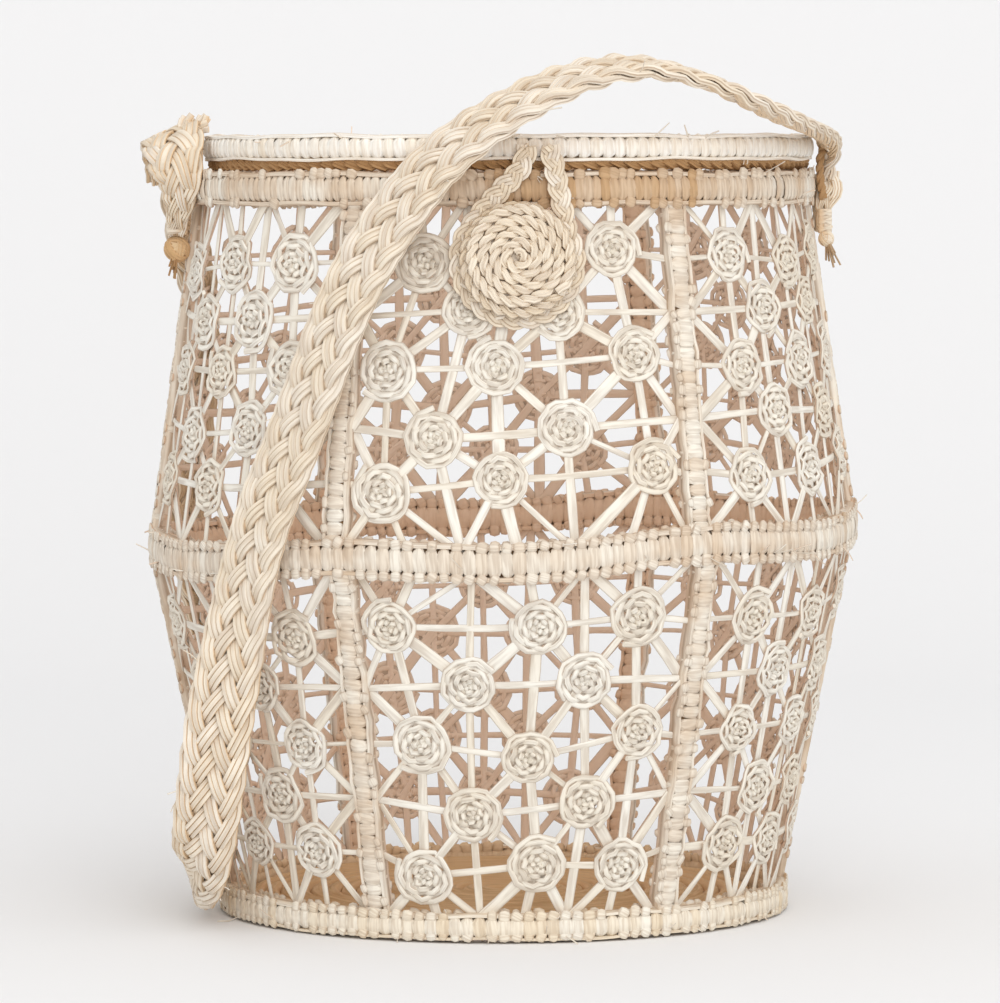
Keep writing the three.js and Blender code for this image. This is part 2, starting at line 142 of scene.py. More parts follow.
# Rosettes: a spiral of straw, flatter in its outer turns, which stops short of its middle
ROSETTE_RADIUS = 0.0121
ROSETTE_COIL = 0.0019
ROSETTE_LAP = 1.2
ROSETTE_THICK = 0.0015
ROSETTE_STATIONS = 22
ROSETTE_EYE = 0.4
ROSETTE_MIDDLE = 0.3
ROSETTE_WEAVE = 0.0012
ROSETTE_OUTER_WEAVE = 0.6
ROSETTE_WOVEN = (0.55, 0.85)
ROSETTE_WOBBLE = 0.0002
ROSETTE_SPOKES = 9
ROSETTE_FACETS = 0.7
ROSETTE_SCATTER = 0.0016
ROSETTE_SIZES = 0.04
ROSETTE_KINDS = 5

# Tones, from pale at 0 to dry at 1: a middle, or a middle and a spread
STRAW_TONE = 0.4
STRAW_SPREAD = 0.28
WEATHERED_SPREAD = 0.12
SPOKE_TONE = (0.25, 0.25)
LID_SPOKE_TONE = (0.3, 0.25)
ROSETTE_TONE = (0.3, 0.22)
HUB_TONE = 0.35
BASE_TONE = 0.5
# The lid ring's pale tone: partly paler straw, partly painted light from above
LID_BLEACHED_AND_LIT_TONE = 0.1

# How far the weathered straw is browned, and the rim at least; at most beyond that, and where: the rim's
# front right, darker partly as browner straw and partly as painted shade under the lid
WAIST_BROWN = 0.24
RIB_BROWN = 0.2
BROWN_LEAST = 0.3
BROWN_AND_SHADE_MORE = 0.6
BROWN_AND_SHADE_MIDDLE = math.radians(14)
BROWN_AND_SHADE_REACH = math.radians(26)

# Base: one flat coil
BASE_COIL = 0.0062
BASE_LAP = 1.08
BASE_INSET = 0.001
BASE_STATIONS = 44

# Lid openwork, and the brown cord under the lid's ring, darkened partly as painted shade under the lid
LID_HUB = 0.020
LID_HUB_KIND = 9
LID_INNER = 0.047
LID_OUTER = 0.077
LID_ROSETTES = 12
LID_SCATTER = 0.01
LID_TUCK = 0.001
LID_LIFT = 0.0012
LID_SHIFT = np.array([0.0022, -0.0028, 0.0])
LID_FLANGE = 0.0066
LID_FLANGE_DROP = 0.0020
LID_FLANGE_PITCH = 0.011
LID_FLANGE_STATIONS = 260

# Twisted cords of two plies
PLIES = 2
PLY_SHARE = 0.56
PLY_WIDE = 1.1
PLY_UNEVEN = (0.1, 0.9, 1.3)
PLY_SPREAD = 0.15
# How dark the brown cords are at least: partly their brown straw, partly painted shade under the lid and in
# the strap's hollow
BROWN_AND_SHADE_GROOVE = 0.9

# Button: a crowned spiral of cord on a backing, with a cord round its edge and a shank
BUTTON_RADIUS = 0.0222
BUTTON_THICK = 0.008
BUTTON_TURNS = 4.4
BUTTON_STATIONS = 70
BUTTON_START = math.radians(-40)
BUTTON_EYE = 0.0014
BUTTON_CROWN = 0.0012
BUTTON_CORD = 0.0047
BUTTON_TWIST = 0.0095
BUTTON_TONE = 0.5
BACKING_SIDES = 40
BACKING_SHARE = 0.6
BACKING_BEVEL = 0.0018
BACKING_SET_BACK = 0.0012
SKIRT_STATIONS = 150
SKIRT_INSET = 0.55
SKIRT_SET_BACK = 0.2
SKIRT_TONE = 0.6
SHANK_HALF = 0.0035
SHANK_WIDE = 0.0095
SHANK_TONE = 0.6

# Loop: a plait round the button, and where each of its ends passes the lid and the rim beside its anchor
LOOP_RADIUS = 0.0216
LOOP_WIDTH = 0.0075
LOOP_THICK = 0.0040
LOOP_LIFT = 0.8
LOOP_ANCHOR = 0.009
LOOP_LEFT = (-0.005, -0.008, -0.017)
LOOP_RIGHT = (0.003, 0.005, 0.007)
LOOP_TURNS = range(-130, 121, 25)
LOOP_TOP = 0.003
LOOP_PROUD = 0.001
LOOP_RIM = 0.004
LOOP_STRANDS = 3
LOOP_CROSSING = 0.009
LOOP_STEP = 0.0012
# The loop's darker tone is painted shade, where it lies behind the button
LOOP_SHADE_TONE = 0.7

# Plaits: how far strands lap, their share of the thickness, their turn at the edges and their spread of tone
PLAIT_LAP = 2.2
PLAIT_STRAW = 0.36
PLAIT_BEND = 1.35
PLAIT_INSET = 0.72
PLAIT_SPREAD = 0.22

# Strap: a flat plait of nine strands, drawn in at its ends to a width over a run
STRAP_WIDTH = 0.026
RIGHT_GATHER = (0.010, 0.170)
LEFT_GATHER = (0.015, 0.035)
STRAP_THICK = 0.007
STRAP_STRANDS = 9
STRAP_CROSSING = 0.056
STRAP_OVER = 2
STRAP_STEP = 0.0022
STRAP_TONE = 0.28

# The strap's route: where its middle runs, and which way its outer face looks there
STRAP_ROUTE = [
    (0.1278, 0, 0.2871, 1, 0, 0),
    (0.1284, -0.0008, 0.295, 1, 0, 0.25),
    (0.1275, -0.013, 0.3015, 0.75, 0, 0.66),
    (0.1215, -0.0425, 0.3055, 0.4, -0.1, 0.91),
    (0.106, -0.08, 0.3105, 0.25, -0.15, 0.95),
    (0.09, -0.103, 0.317, 0.15, -0.2, 0.97),
    (0.071, -0.1185, 0.3245, 0.05, -0.2, 0.98),
    (0.048, -0.1295, 0.3295, 0, -0.22, 0.97),
    (0.028, -0.135, 0.3275, -0.05, -0.3, 0.95),
    (0.009, -0.138, 0.3205, -0.15, -0.42, 0.9),
    (-0.009, -0.138, 0.3105, -0.3, -0.52, 0.8),
    (-0.021, -0.1365, 0.302, -0.4, -0.6, 0.7),
    (-0.033, -0.134, 0.291, -0.5, -0.67, 0.55),
    (-0.046, -0.1305, 0.274, -0.62, -0.71, 0.32),
    (-0.058, -0.127, 0.255, -0.66, -0.73, 0.17),
    (-0.068, -0.123, 0.233, -0.68, -0.73, 0.1),
    (-0.076, -0.1195, 0.211, -0.68, -0.73, 0.1),
    (-0.085, -0.1155, 0.187, -0.68, -0.73, 0.05),
    (-0.094, -0.112, 0.164, -0.68, -0.73, 0),
    (-0.1, -0.108, 0.143, -0.66, -0.75, 0),
    (-0.1045, -0.105, 0.122, -0.55, -0.83, 0),
    (-0.1085, -0.1025, 0.101, -0.4, -0.92, 0),
    (-0.1125, -0.098, 0.079, -0.28, -0.96, -0.05),
    (-0.116, -0.09, 0.052, -0.32, -0.93, -0.2),
    (-0.119, -0.078, 0.031, -0.55, -0.76, -0.35),
    (-0.1205, -0.059, 0.0205, -0.8, -0.5, -0.33),
    (-0.1215, -0.033, 0.0175, -0.95, -0.18, -0.22),
    (-0.121, -0.004, 0.02, -0.98, 0.08, -0.18),
    (-0.12, 0.025, 0.031, -0.95, 0.23, -0.18),
    (-0.117, 0.05, 0.051, -0.91, 0.38, -0.18),
    (-0.1155, 0.0655, 0.08, -0.87, 0.46, -0.16),
    (-0.119, 0.071, 0.113, -0.86, 0.5, -0.12),
    (-0.126, 0.074, 0.146, -0.86, 0.5, 0),
    (-0.1225, 0.071, 0.182, -0.87, 0.48, 0.1),
    (-0.1195, 0.064, 0.216, -0.88, 0.46, 0.1),
    (-0.1205, 0.053, 0.246, -0.91, 0.4, 0.1),
    (-0.127, 0.036, 0.27, -0.95, 0.3, 0.08),
    (-0.133, 0.0224, 0.29, -1, 0.05, 0.05),
]

# Ears: the folded strap ends, as stops with a place and a width, of two plaits that a binding gathers
EAR_STOPS = {
    "left": [
        (-0.1330, 0.0224, 0.2880, 0.015), (-0.1325, 0.0150, 0.2990, 0.019),
        (-0.1315, 0.0000, 0.3045, 0.022), (-0.1300, -0.0170, 0.3050, 0.024),
        (-0.1285, -0.0290, 0.2990, 0.024), (-0.1275, -0.0320, 0.2900, 0.020),
        (-0.1270, -0.0260, 0.2820, 0.014), (-0.1275, -0.0160, 0.2740, 0.009),
        (-0.1280, -0.0070, 0.2680, 0.007),
    ],
    "right": [
        (0.1280, 0.0000, 0.2900, 0.011), (0.1290, -0.0010, 0.2835, 0.011),
        (0.1270, -0.0025, 0.2790, 0.008), (0.1262, -0.0040, 0.2740, 0.006),
        (0.1268, -0.0060, 0.2680, 0.005),
    ],
}
EAR_LAYER = 0.0030
EAR_NARROWING = 0.15
EAR_LEAN = 0.45
EAR_STRANDS = 7
EAR_CROSSING = 0.046
EAR_OVER = 2
EAR_THICK = 0.0050
EAR_STEP = 0.0016
EAR_TONE = 0.55
BINDING = {"left": 0.0085, "right": 0.0056}
BINDING_PITCH = 0.0034
BINDING_TURNS = 3
BINDING_STEP = 0.003
BINDING_TONE = 0.6

# The left ear's tuft of cut straw ends
EAR_TUFTS = {"left": 16, "right": 0}
EAR_CROWN = 3
TUFT_FEET = (0.002, 0.013)
TUFT_LIFT = 0.002
TUFT_UP = 0.7
TUFT_STRAY = 0.7
TUFT_IN = 0.4
TUFT_BEND = 0.0025
TUFT_LENGTH = 0.0045
TUFT_DROOP = 0.001
TUFT_FACE = (0.2, -1, 0.1)
TUFT_STRAW = (0.0026, 0.0010)
TUFT_TONE = 0.2

# Knots: a ball of bands, each round an axis and browner than the one before, over a frayed tail
KNOT_PLACES = {"left": (-0.1280, -0.0050, 0.2605), "right": (0.1272, -0.0070, 0.2640)}
KNOT_RADII = {"left": 0.0046, "right": 0.0028}
KNOT_BANDS = [(0.3, 0.2, 1), (1, 0.4, -0.2), (0.3, 1, 0.5), (0.7, -0.6, 0.6)]
KNOT_TONES = (0.0, 0.3, 0.6, 0.9)
KNOT_STATIONS = 20
KNOT_ASKEW = (0.1, 0.9, 0.3)
BAND_REACH = 0.80
BAND_LAYER = 0.03
BAND_WIDE = 0.85
BAND_THICK = 0.6
TAIL_STRAWS = 9
TAIL_SPREAD = 0.4
TAIL_LENGTHS = (0.006, 0.011)
TAIL_ROOT = 0.5
TAIL_DROOP = 0.001
TAIL_STRAW = (0.0018, 0.0008)

# The brown inside of the strap's turn at its right end, darkened partly as painted shade in the hollow
HOOK_STOPS = [
    (0.1262, -0.012, 0.3010), (0.1246, -0.011, 0.2970), (0.1243, -0.010, 0.2920),
    (0.1250, -0.008, 0.2860), (0.1262, -0.005, 0.2800),
]
HOOK_CORD = 0.0036
HOOK_PITCH = 0.0080
HOOK_STEP = 0.0012

# Loose fibres that stand off the rings and the strap
FIBRE_COUNTS = {"base": 40, "waist": 60, "rim": 30, "strap": 30, "lid": 30}
FIBRE_THICK = 0.0004
FIBRE_WIDE = 1.4
FIBRE_LENGTHS = (0.003, 0.009)
FIBRE_STATIONS = (-0.15, 0.3, 0.65, 1)
FIBRE_STRAY = 0.9
FIBRE_BEND = 0.4
FIBRE_TURN = 0.2
FIBRE_ROOT = 0.002
FIBRE_LOW = 0.003
FIBRE_HIGH = 0.001
STRAP_BARE_STEPS = 20
STRAP_EDGE = 0.46

# Lashings: strips over the backs of the rim and the lid, and how far they stand off at each stop
LASHING_STRIPS = 4
LASHING_WIDE = 0.010
LASHING_LAP = 1.2
LASHING_THICK = 0.0016
LASHING_PROUD = (0.0006, 0.0016, 0.0016, 0.0022, 0.0014, 0.0004)
LASHING_END = 0.0005
LASHING_BEND = 0.003
LASHING_GAP = 0.002
LASHING_STEP = 0.0016
LASHING_TONE = (0.5, 0.2)

# Studio: a paper sweep that turns up behind the basket, and lamps: place, aim, size and watts
SWEEP_SIZE = (24, 20, 1)
SWEEP_MIDDLE = (0, -8.2, 0)
SWEEP_WALL = (0, 0, 4)
SWEEP_BACK = 1
SWEEP_BEND = 0.9
SWEEP_BEND_STEPS = 14
PAPER = "f0f0f1"
PAPER_ROUGHNESS = 0.95
SKY = (1.0, 0.99, 0.975, 1)
SKY_STRENGTH = 0.8
SKY_SEEN_MORE = 0.1
LAMPS = {
    "key": ((0.4, -1.3, 2.5), (0, 0, 0.15), 2.6, 13),
    "front": ((0.4, -3.6, 1.35), (0, 0, 0.15), 2.5, 44),
    "backdrop": ((0, 0.5, 1.6), (0, 1.8, 0.5), 1.2, 0.8),
}

# Where the front panels' rosettes stand off their even places, right and up
FRONT_NUDGES = {
    "lower": {
        (0, 4): (-0.011, 0.003), (2, 4): (0.004, 0.004), (4, 4): (0.001, 0.004),
        (1, 3): (-0.002, 0.003), (3, 3): (0.002, 0.003),
        (0, 2): (-0.002, 0.001), (2, 2): (0.001, -0.004), (4, 2): (0.005, 0.003),
        (1, 1): (-0.002, -0.005), (3, 1): (0.005, -0.001),
        (0, 0): (-0.004, -0.008), (2, 0): (0.005, -0.003), (4, 0): (0.003, -0.005),
    },
    "upper": {
        (0, 4): (0.003, 0.0), (4, 4): (-0.001, 0.004),
        (1, 3): (0.001, 0.003), (3, 3): (-0.004, 0.002),
        (0, 2): (-0.010, 0.001), (2, 2): (-0.008, 0.003), (4, 2): (0.006, 0.005),
        (1, 1): (-0.011, -0.003), (3, 1): (-0.002, 0.0),
        (0, 0): (-0.010, -0.003), (2, 0): (-0.007, 0.003), (4, 0): (0.011, 0.003),
    },
}

UP = np.array([0.0, 0.0, 1.0])
FRONT = np.array([0.0, -1.0, 0.0])
SMOOTH_ANGLE = math.radians(60)
scatter = np.random.default_rng(11)


def outward(angle):
    return np.array([math.sin(angle), -math.cos(angle), 0.0])


def rightward(angle):
    return np.array([math.cos(angle), math.sin(angle), 0.0])


def unit(vectors):
    return vectors / np.linalg.norm(vectors, axis=-1, keepdims=True)


def srgb(code):
    """A colour such as "efe3cc" as the linear values that a shader socket takes."""
    parts = [int(code[i:i + 2], 16) / 255 for i in (0, 2, 4)]
    linear = [p / 12.92 if p <= 0.04045 else ((p + 0.055) / 1.055) ** 2.4 for p in parts]
    return (*linear, 1.0)


# Camera


def add_camera():
    aside = -rightward(-CAMERA_TURN)
    place = CAMERA_DISTANCE * outward(-CAMERA_TURN) + CAMERA_HEIGHT * UP
    aim = AIM_LEFT * aside + AIM_HEIGHT * UP
    bpy.ops.object.camera_add(location=place)
    camera = bpy.context.object
    turn = Vector(aim - place).to_track_quat("-Z", "Y").to_matrix()
    camera.rotation_euler = (turn @ Matrix.Rotation(CAMERA_ROLL, 3, "Z")).to_euler()
    camera.data.sensor_fit = "HORIZONTAL"
    camera.data.sensor_width = SENSOR
    camera.data.lens = SENSOR * FOCAL_PIXELS / IMAGE_WIDTH
    camera.data.clip_end = CAMERA_REACH
    bpy.context.scene.camera = camera


bpy.ops.object.select_all(action="DESELECT")
add_camera()

# Straw as strips: a piece gathers its straws, each with a UV map along it and a tone of its own


def oval(sides):
    turns = 2 * math.pi * np.arange(sides) / sides
    return np.stack([np.cos(turns), np.sin(turns)], axis=1)


FLAT_STRAW = np.array([(1, 0), (0.62, 0.9), (-0.62, 0.9), (-1, 0), (-0.62, -0.9), (0.62, -0.9)])
ROUND_STRAW = oval(6)


def strand(side):
    """A strand's section from the outline of its upper side, right to left."""
    return np.array([(1, 0)] + side + [(-1, 0)] + [(-x, -y) for x, y in side])


# Lower points of a section get more groove shade: painted shade in the valleys between its straws
RIDGED_STRAND = strand([(0.76, 0.82), (0.34, 0.6), (0, 0.95), (-0.34, 0.6), (-0.76, 0.82)])
THREE_STRAWS = [
    (0.92, 0.7), (0.46, 0.76), (0.36, 0.18), (0.26, 0.8),
    (-0.3, 0.78), (-0.38, 0.22), (-0.48, 0.8), (-0.9, 0.7),
]
FLAT_STRAND = strand(THREE_STRAWS)


class Straws:
    """The straws of one piece, as quads."""

    def __init__(self):
        self.points = []
        self.quads = []
        self.uvs = []
        self.groove_shades = []
        self.tones = []
        self.count = 0

    def add(self, points, quads, uvs, groove_shades, tones):
        self.points.append(points)
        self.quads.append(quads + self.count)
        self.uvs.append(uvs)
        self.groove_shades.append(groove_shades)
        self.tones.append(np.broadcast_to(tones, len(quads)))
        self.count += len(points)

    def sweep(self, centres, outs, width, thick, tone, section=FLAT_STRAW, closed=False, groove_shade=0.0):
        """A straw along its centres, darkened with painted shade towards the sides of its section, and
        everywhere at least by the given groove shade.

        Its flat face looks along outs; width and thick may vary along it.
        """
        centres = np.asarray(centres, float)
        outs = np.broadcast_to(outs, centres.shape)
        if closed:
            along = np.roll(centres, -1, axis=0) - np.roll(centres, 1, axis=0)
        else:
            along = np.gradient(centres, axis=0)
        along = unit(along)
        across = unit(np.cross(outs, along))
        out = np.cross(along, across)
        stations, sides = len(centres), len(section)
        half_width = np.broadcast_to(width, stations)[:, None, None] / 2
        half_thick = np.broadcast_to(thick, stations)[:, None, None] / 2
        rings = centres[:, None] + across[:, None] * section[None, :, :1] * half_width
        rings = rings + out[:, None] * section[None, :, 1:] * half_thick
        spans = stations if closed else stations - 1
        row = np.arange(spans)[:, None]
        column = np.arange(sides)[None, :]
        after_row = (row + 1) % stations
        after_column = (column + 1) % sides
        quads = np.stack(
            [
                row * sides + column,
                row * sides + after_column,
                after_row * sides + after_column,
                after_row * sides + column,
            ],
            axis=-1,
        ).reshape(-1, 4)
        steps = np.linalg.norm(np.diff(centres, axis=0, append=centres[:1]), axis=1)
        run = np.concatenate([[0], np.cumsum(steps)])
        around = (np.mean(half_width) + np.mean(half_thick)) * 2 * np.arange(sides + 1) / sides
        here_u, next_u = run[:spans][:, None], run[1:spans + 1][:, None]
        here_v, next_v = around[:-1][None, :], around[1:][None, :]
        shape = (spans, sides)
        corners = [(here_u, here_v), (here_u, next_v), (next_u, next_v), (next_u, here_v)]
        uvs = np.stack(
            [np.stack([np.broadcast_to(u, shape), np.broadcast_to(v, shape)], axis=-1) for u, v in corners],
            axis=2,
        ).reshape(-1, 4, 2)
        if not closed:
            end = np.array([(i, i + 1, sides - 2 - i, sides - 1 - i) for i in range(sides // 2 - 1)])
            quads = np.concatenate([quads, end[:, ::-1], end + (stations - 1) * sides])
            uvs = np.concatenate([uvs, np.zeros((2 * len(end), 4, 2))])
        heights = np.abs(section[:, 1])
        groove_shades = np.tile(np.maximum(1 - heights / heights.max(), groove_shade), stations)
        self.add(rings.reshape(-1, 3), quads, uvs, groove_shades, tone)

    def stamp(self, model, centres, alongs, outs, tones, scales=1.0):
        """Copies of a model straw: its X runs along, its -Y looks out."""
        points, quads, uvs, groove_shades = model
        centres = np.asarray(centres, float)
        alongs = unit(np.broadcast_to(alongs, centres.shape))
        inward = -np.broadcast_to(outs, centres.shape)
        inward = unit(inward - alongs * np.sum(inward * alongs, axis=1, keepdims=True))
        aside = np.cross(alongs, inward)
        count = len(centres)
        sizes = np.broadcast_to(scales, (count, 3))
        local = points[None] * sizes[:, None]
        copies = centres[:, None] + local[..., :1] * alongs[:, None]
        copies = copies + local[..., 1:2] * inward[:, None] + local[..., 2:] * aside[:, None]
        all_quads = quads[None] + (np.arange(count) * len(points))[:, None, None]
        all_tones = np.repeat(np.broadcast_to(tones, count), len(quads))
        all_uvs, all_groove_shades = np.tile(uvs, (count, 1, 1)), np.tile(groove_shades, count)
        self.add(copies.reshape(-1, 3), all_quads.reshape(-1, 4), all_uvs, all_groove_shades, all_tones)

    def model(self):
        """These straws as one model to stamp: points, quads, UVs and groove shades, which are painted shade.
        """
        return tuple(np.concatenate(part) for part in (self.points, self.quads, self.uvs, self.groove_shades))

    def make(self, name, material):
        points, quads, uvs, groove_shades = self.model()
        mesh = bpy.data.meshes.new(name)
        mesh.from_pydata(points.tolist(), [], quads.tolist())
        layer = mesh.uv_layers.new(name="straw")
        layer.uv.foreach_set("vector", uvs.astype(np.float32).ravel())
        tone = mesh.attributes.new("tone", "FLOAT", "FACE")
        tone.data.foreach_set("value", np.concatenate(self.tones).astype(np.float32))
        groove_shade = mesh.attributes.new("groove_shade", "FLOAT", "POINT")
        groove_shade.data.foreach_set("value", groove_shades.astype(np.float32))
        piece = bpy.data.objects.new(name, mesh)
        bpy.context.scene.collection.objects.link(piece)
        finish_piece(piece, material)
        return piece


def finish_piece(piece, material):
    """Shades a piece smooth and gives it its material."""
    piece.data.materials.clear()
    piece.data.materials.append(material)
    bpy.ops.object.select_all(action="DESELECT")
    bpy.context.view_layer.objects.active = piece
    piece.select_set(True)
    bpy.ops.object.shade_smooth_by_angle(angle=SMOOTH_ANGLE)
    bpy.ops.object.select_all(action="DESELECT")


def read_model(axis, uv_size):
    """The active object's mesh as a model to stamp, with painted groove shade growing towards both its ends
    on an axis.

    The object is removed.
    """
    piece = bpy.context.object
    mesh = piece.data
    points = np.array([v.co for v in mesh.vertices])
    quads = np.array([list(p.vertices) for p in mesh.polygons])
    layer = mesh.uv_layers.active
    uvs = np.array([layer.uv[i].vector for p in mesh.polygons for i in p.loop_indices])
    bpy.data.objects.remove(piece)
    bpy.data.meshes.remove(mesh)
    reach = np.abs(points[:, axis])
    return points, quads, uvs.reshape(-1, 4, 2) * np.array(uv_size), reach / reach.max()


def wrap_model(deep, tall, pitch):
    """One flat turn of straw round a core that runs along X, drawn in by stitches near both its edges."""
    bpy.ops.object.select_all(action="DESELECT")
    bpy.ops.mesh.primitive_torus_add(
        rotation=(0, math.pi / 2, 0),
        major_segments=12,
        minor_segments=6,
        major_radius=tall / 2 - WRAP_STRAW,
        minor_radius=WRAP_STRAW,
    )
    bpy.ops.object.transform_apply(location=False, rotation=True, scale=True)
    bpy.ops.object.mode_set(mode="EDIT")
    bpy.ops.mesh.select_all(action="SELECT")
    bpy.ops.transform.resize(value=(WRAP_SPREAD * pitch / WRAP_STRAW, deep / tall, 1))
    bpy.ops.object.mode_set(mode="OBJECT")
    points, quads, uvs, sides = read_model(0, (math.pi * tall, 2 * pitch))
    # The torus has its rows of points at these shares of its height, and the third row is drawn in
    rows = np.cos(np.radians([90, 60, 30, 0]))
    height = np.abs(points[:, 2]) / (tall / 2)
    drawn = np.exp(-((height - rows[2]) / NOTCH_REACH) ** 2)
    points[:, 0] *= 1 - NOTCH_DEPTH * drawn
    moved = np.interp(height, rows, (0, NOTCH_PLACE * NOTCH_INNER, NOTCH_PLACE, 1))
    points[:, 2] = np.sign(points[:, 2]) * moved * tall / 2
    depth = np.abs(points[:, 1]) / (deep / 2)
    points[:, 1] = np.sign(points[:, 1]) * depth**WRAP_FLATNESS * deep / 2
    # The groove shade darkens each wrap at its notches: painted shade in the notches
    return points, quads, uvs, sides * drawn


def stitch_model(length, thick, width):
    """One short rounded stitch along X."""
    bpy.ops.object.select_all(action="DESELECT")
    bpy.ops.mesh.primitive_cube_add(size=1)
    bpy.ops.object.mode_set(mode="EDIT")
    bpy.ops.mesh.select_all(action="SELECT")
    bpy.ops.mesh.subdivide(number_cuts=1)
    bpy.ops.transform.tosphere(value=STITCH_ROUND)
    bpy.ops.transform.resize(value=(length, thick, width))
    bpy.ops.object.mode_set(mode="OBJECT")
    return read_model(2, (4 * length, 4 * width))


def rosette_model(radius, seed):
    """A wheel in the XZ plane, its front at -Y: one straw woven in a spiral over and under its spokes."""
    wheel = Straws()
    wobble = np.random.default_rng(seed)
    turns = radius / ROSETTE_COIL - ROSETTE_EYE
    count = round(turns * ROSETTE_STATIONS)
    turn = 2 * math.pi * np.linspace(0, turns, count)
    reach = np.linspace(radius - ROSETTE_COIL / 2, ROSETTE_COIL * ROSETTE_MIDDLE, count)
    woven = 1 - smoothstep(reach / radius, *ROSETTE_WOVEN)
    weave = ROSETTE_WEAVE * (ROSETTE_OUTER_WEAVE + (1 - ROSETTE_OUTER_WEAVE) * woven)
    rise = weave * np.cos(ROSETTE_SPOKES / 2 * turn)
    rise = rise + wobble.normal(0, ROSETTE_WOBBLE, count)
    step = 2 * math.pi / ROSETTE_SPOKES
    facet = math.cos(step / 2) / np.cos(turn % step - step / 2)
    reach = reach * (1 - ROSETTE_FACETS + ROSETTE_FACETS * facet)
    reach = reach + wobble.normal(0, ROSETTE_WOBBLE, count)
    spiral = np.stack([reach * np.cos(turn), np.zeros(count), reach * np.sin(turn)], axis=1)
    spiral = spiral + np.outer(rise, FRONT)
    wheel.sweep(spiral, FRONT, ROSETTE_COIL * ROSETTE_LAP, ROSETTE_THICK, STRAW_TONE, ROUND_STRAW)
    return wheel.model()


# Materials: how fine the fibres and patches are, where they begin and end, and how far each changes the straw

FIBRE_SCALE = {"X": 60, "Y": 1500, "Z": 41}
FIBRE_DETAIL = 2.0
STREAK_RANGE = (0.36, 0.66)
STREAK_SHARE = 0.3
STREAK_ROUGHNESS = 0.2
FIBRE_STRENGTH = 0.6
FIBRE_HEIGHT = 0.0004
PATCH_SCALE = 55
PATCH_DETAIL = 3
PATCH_RANGE = (0.42, 0.72)
PATCH_SHARE = 0.45
# The inward tan, partly unbleached straw and partly painted shade and warm bounce light: where faces turn to
# it, and how far
INWARD_TAN_AND_SHADE_RANGE = (-0.25, 0.45)
INWARD_TAN_AND_SHADE_SHARE = 0.8
# Painted shade: where the groove shade starts and ends, and how far it turns the straw to its shade colour
GROOVE_SHADE_RANGE = (0.5, 1.0)
GROOVE_SHADE_SHARE = 0.55
STRAW_SPECULAR = 0.3


def new_group(name, inputs, outputs):
    group = bpy.data.node_groups.new(name, "ShaderNodeTree")
    for label, kind in inputs:
        group.interface.new_socket(name=label, in_out="INPUT", socket_type=kind)
    for label, kind in outputs:
        group.interface.new_socket(name=label, in_out="OUTPUT", socket_type=kind)
    return group, group.nodes.new("NodeGroupInput"), group.nodes.new("NodeGroupOutput")


def math_node(tree, operation, first, second):
    node = tree.nodes.new("ShaderNodeMath")
    node.operation = operation
    for socket, value in zip(node.inputs, (first, second)):
        if isinstance(value, (int, float)):
            socket.default_value = value
        else:
            tree.links.new(value, socket)
    return node.outputs[0]


def ramp_node(tree, value, low, high):
    node = tree.nodes.new("ShaderNodeMapRange")
    node.interpolation_type = "SMOOTHSTEP"
    tree.links.new(value, node.inputs["Value"])
    node.inputs["From Min"].default_value = low
    node.inputs["From Max"].default_value = high
    return node.outputs["Result"]


def noise_node(tree, vector, scale, detail):
    node = tree.nodes.new("ShaderNodeTexNoise")
    tree.links.new(vector, node.inputs["Vector"])
    node.inputs["Scale"].default_value = scale
    node.inputs["Detail"].default_value = detail
    return node.outputs["Fac"]


def mix_colours(tree, share, first, second):
    node = tree.nodes.new("ShaderNodeMix")
    node.data_type = "RGBA"
    tree.links.new(share, node.inputs["Factor"])
    for socket, colour in ((node.inputs[6], first), (node.inputs[7], second)):
        if isinstance(colour, tuple):
            socket.default_value = colour
        else:
            tree.links.new(colour, socket)
    return node.outputs[2]


def make_fibre_group():
    """Fine streaks along a straw, and the height they stand at."""
    group, given, result = new_group(
        "straw fibre",
        [("Straw", "NodeSocketVector"), ("Tone", "NodeSocketFloat")],
        [("Streak", "NodeSocketFloat"), ("Height", "NodeSocketFloat")],
    )
    parts = group.nodes.new("ShaderNodeSeparateXYZ")
    group.links.new(given.outputs["Straw"], parts.inputs[0])
    join = group.nodes.new("ShaderNodeCombineXYZ")
    sources = {"X": parts.outputs["X"], "Y": parts.outputs["Y"], "Z": given.outputs["Tone"]}
    for axis, source in sources.items():
        group.links.new(math_node(group, "MULTIPLY", source, FIBRE_SCALE[axis]), join.inputs[axis])
    fibres = noise_node(group, join.outputs[0], 1.0, FIBRE_DETAIL)
    group.links.new(ramp_node(group, fibres, *STREAK_RANGE), result.inputs["Streak"])
    group.links.new(fibres, result.inputs["Height"])
    return group


def make_inward_tan_and_shade_group():
    """How far a face looks in at the basket's axis, where the straw turns tan: partly unbleached straw,
    partly painted shade and warm bounce light.
    """
    group, _, result = new_group("inward face", [], [("Inside", "NodeSocketFloat")])
    place = group.nodes.new("ShaderNodeTexCoord")
    flat = group.nodes.new("ShaderNodeVectorMath")
    flat.operation = "MULTIPLY"
    group.links.new(place.outputs["Object"], flat.inputs[0])
    flat.inputs[1].default_value = (1, 1, 0)
    radial = group.nodes.new("ShaderNodeVectorMath")
    radial.operation = "NORMALIZE"
    group.links.new(flat.outputs[0], radial.inputs[0])
    facing = group.nodes.new("ShaderNodeVectorMath")
    facing.operation = "DOT_PRODUCT"
    group.links.new(radial.outputs[0], facing.inputs[0])
    group.links.new(place.outputs["Normal"], facing.inputs[1])
    inwards = math_node(group, "MULTIPLY", facing.outputs["Value"], -1)
    group.links.new(ramp_node(group, inwards, *INWARD_TAN_AND_SHADE_RANGE), result.inputs["Inside"])
    return group


FIBRE = make_fibre_group()
INWARD_TAN_AND_SHADE = make_inward_tan_and_shade_group()


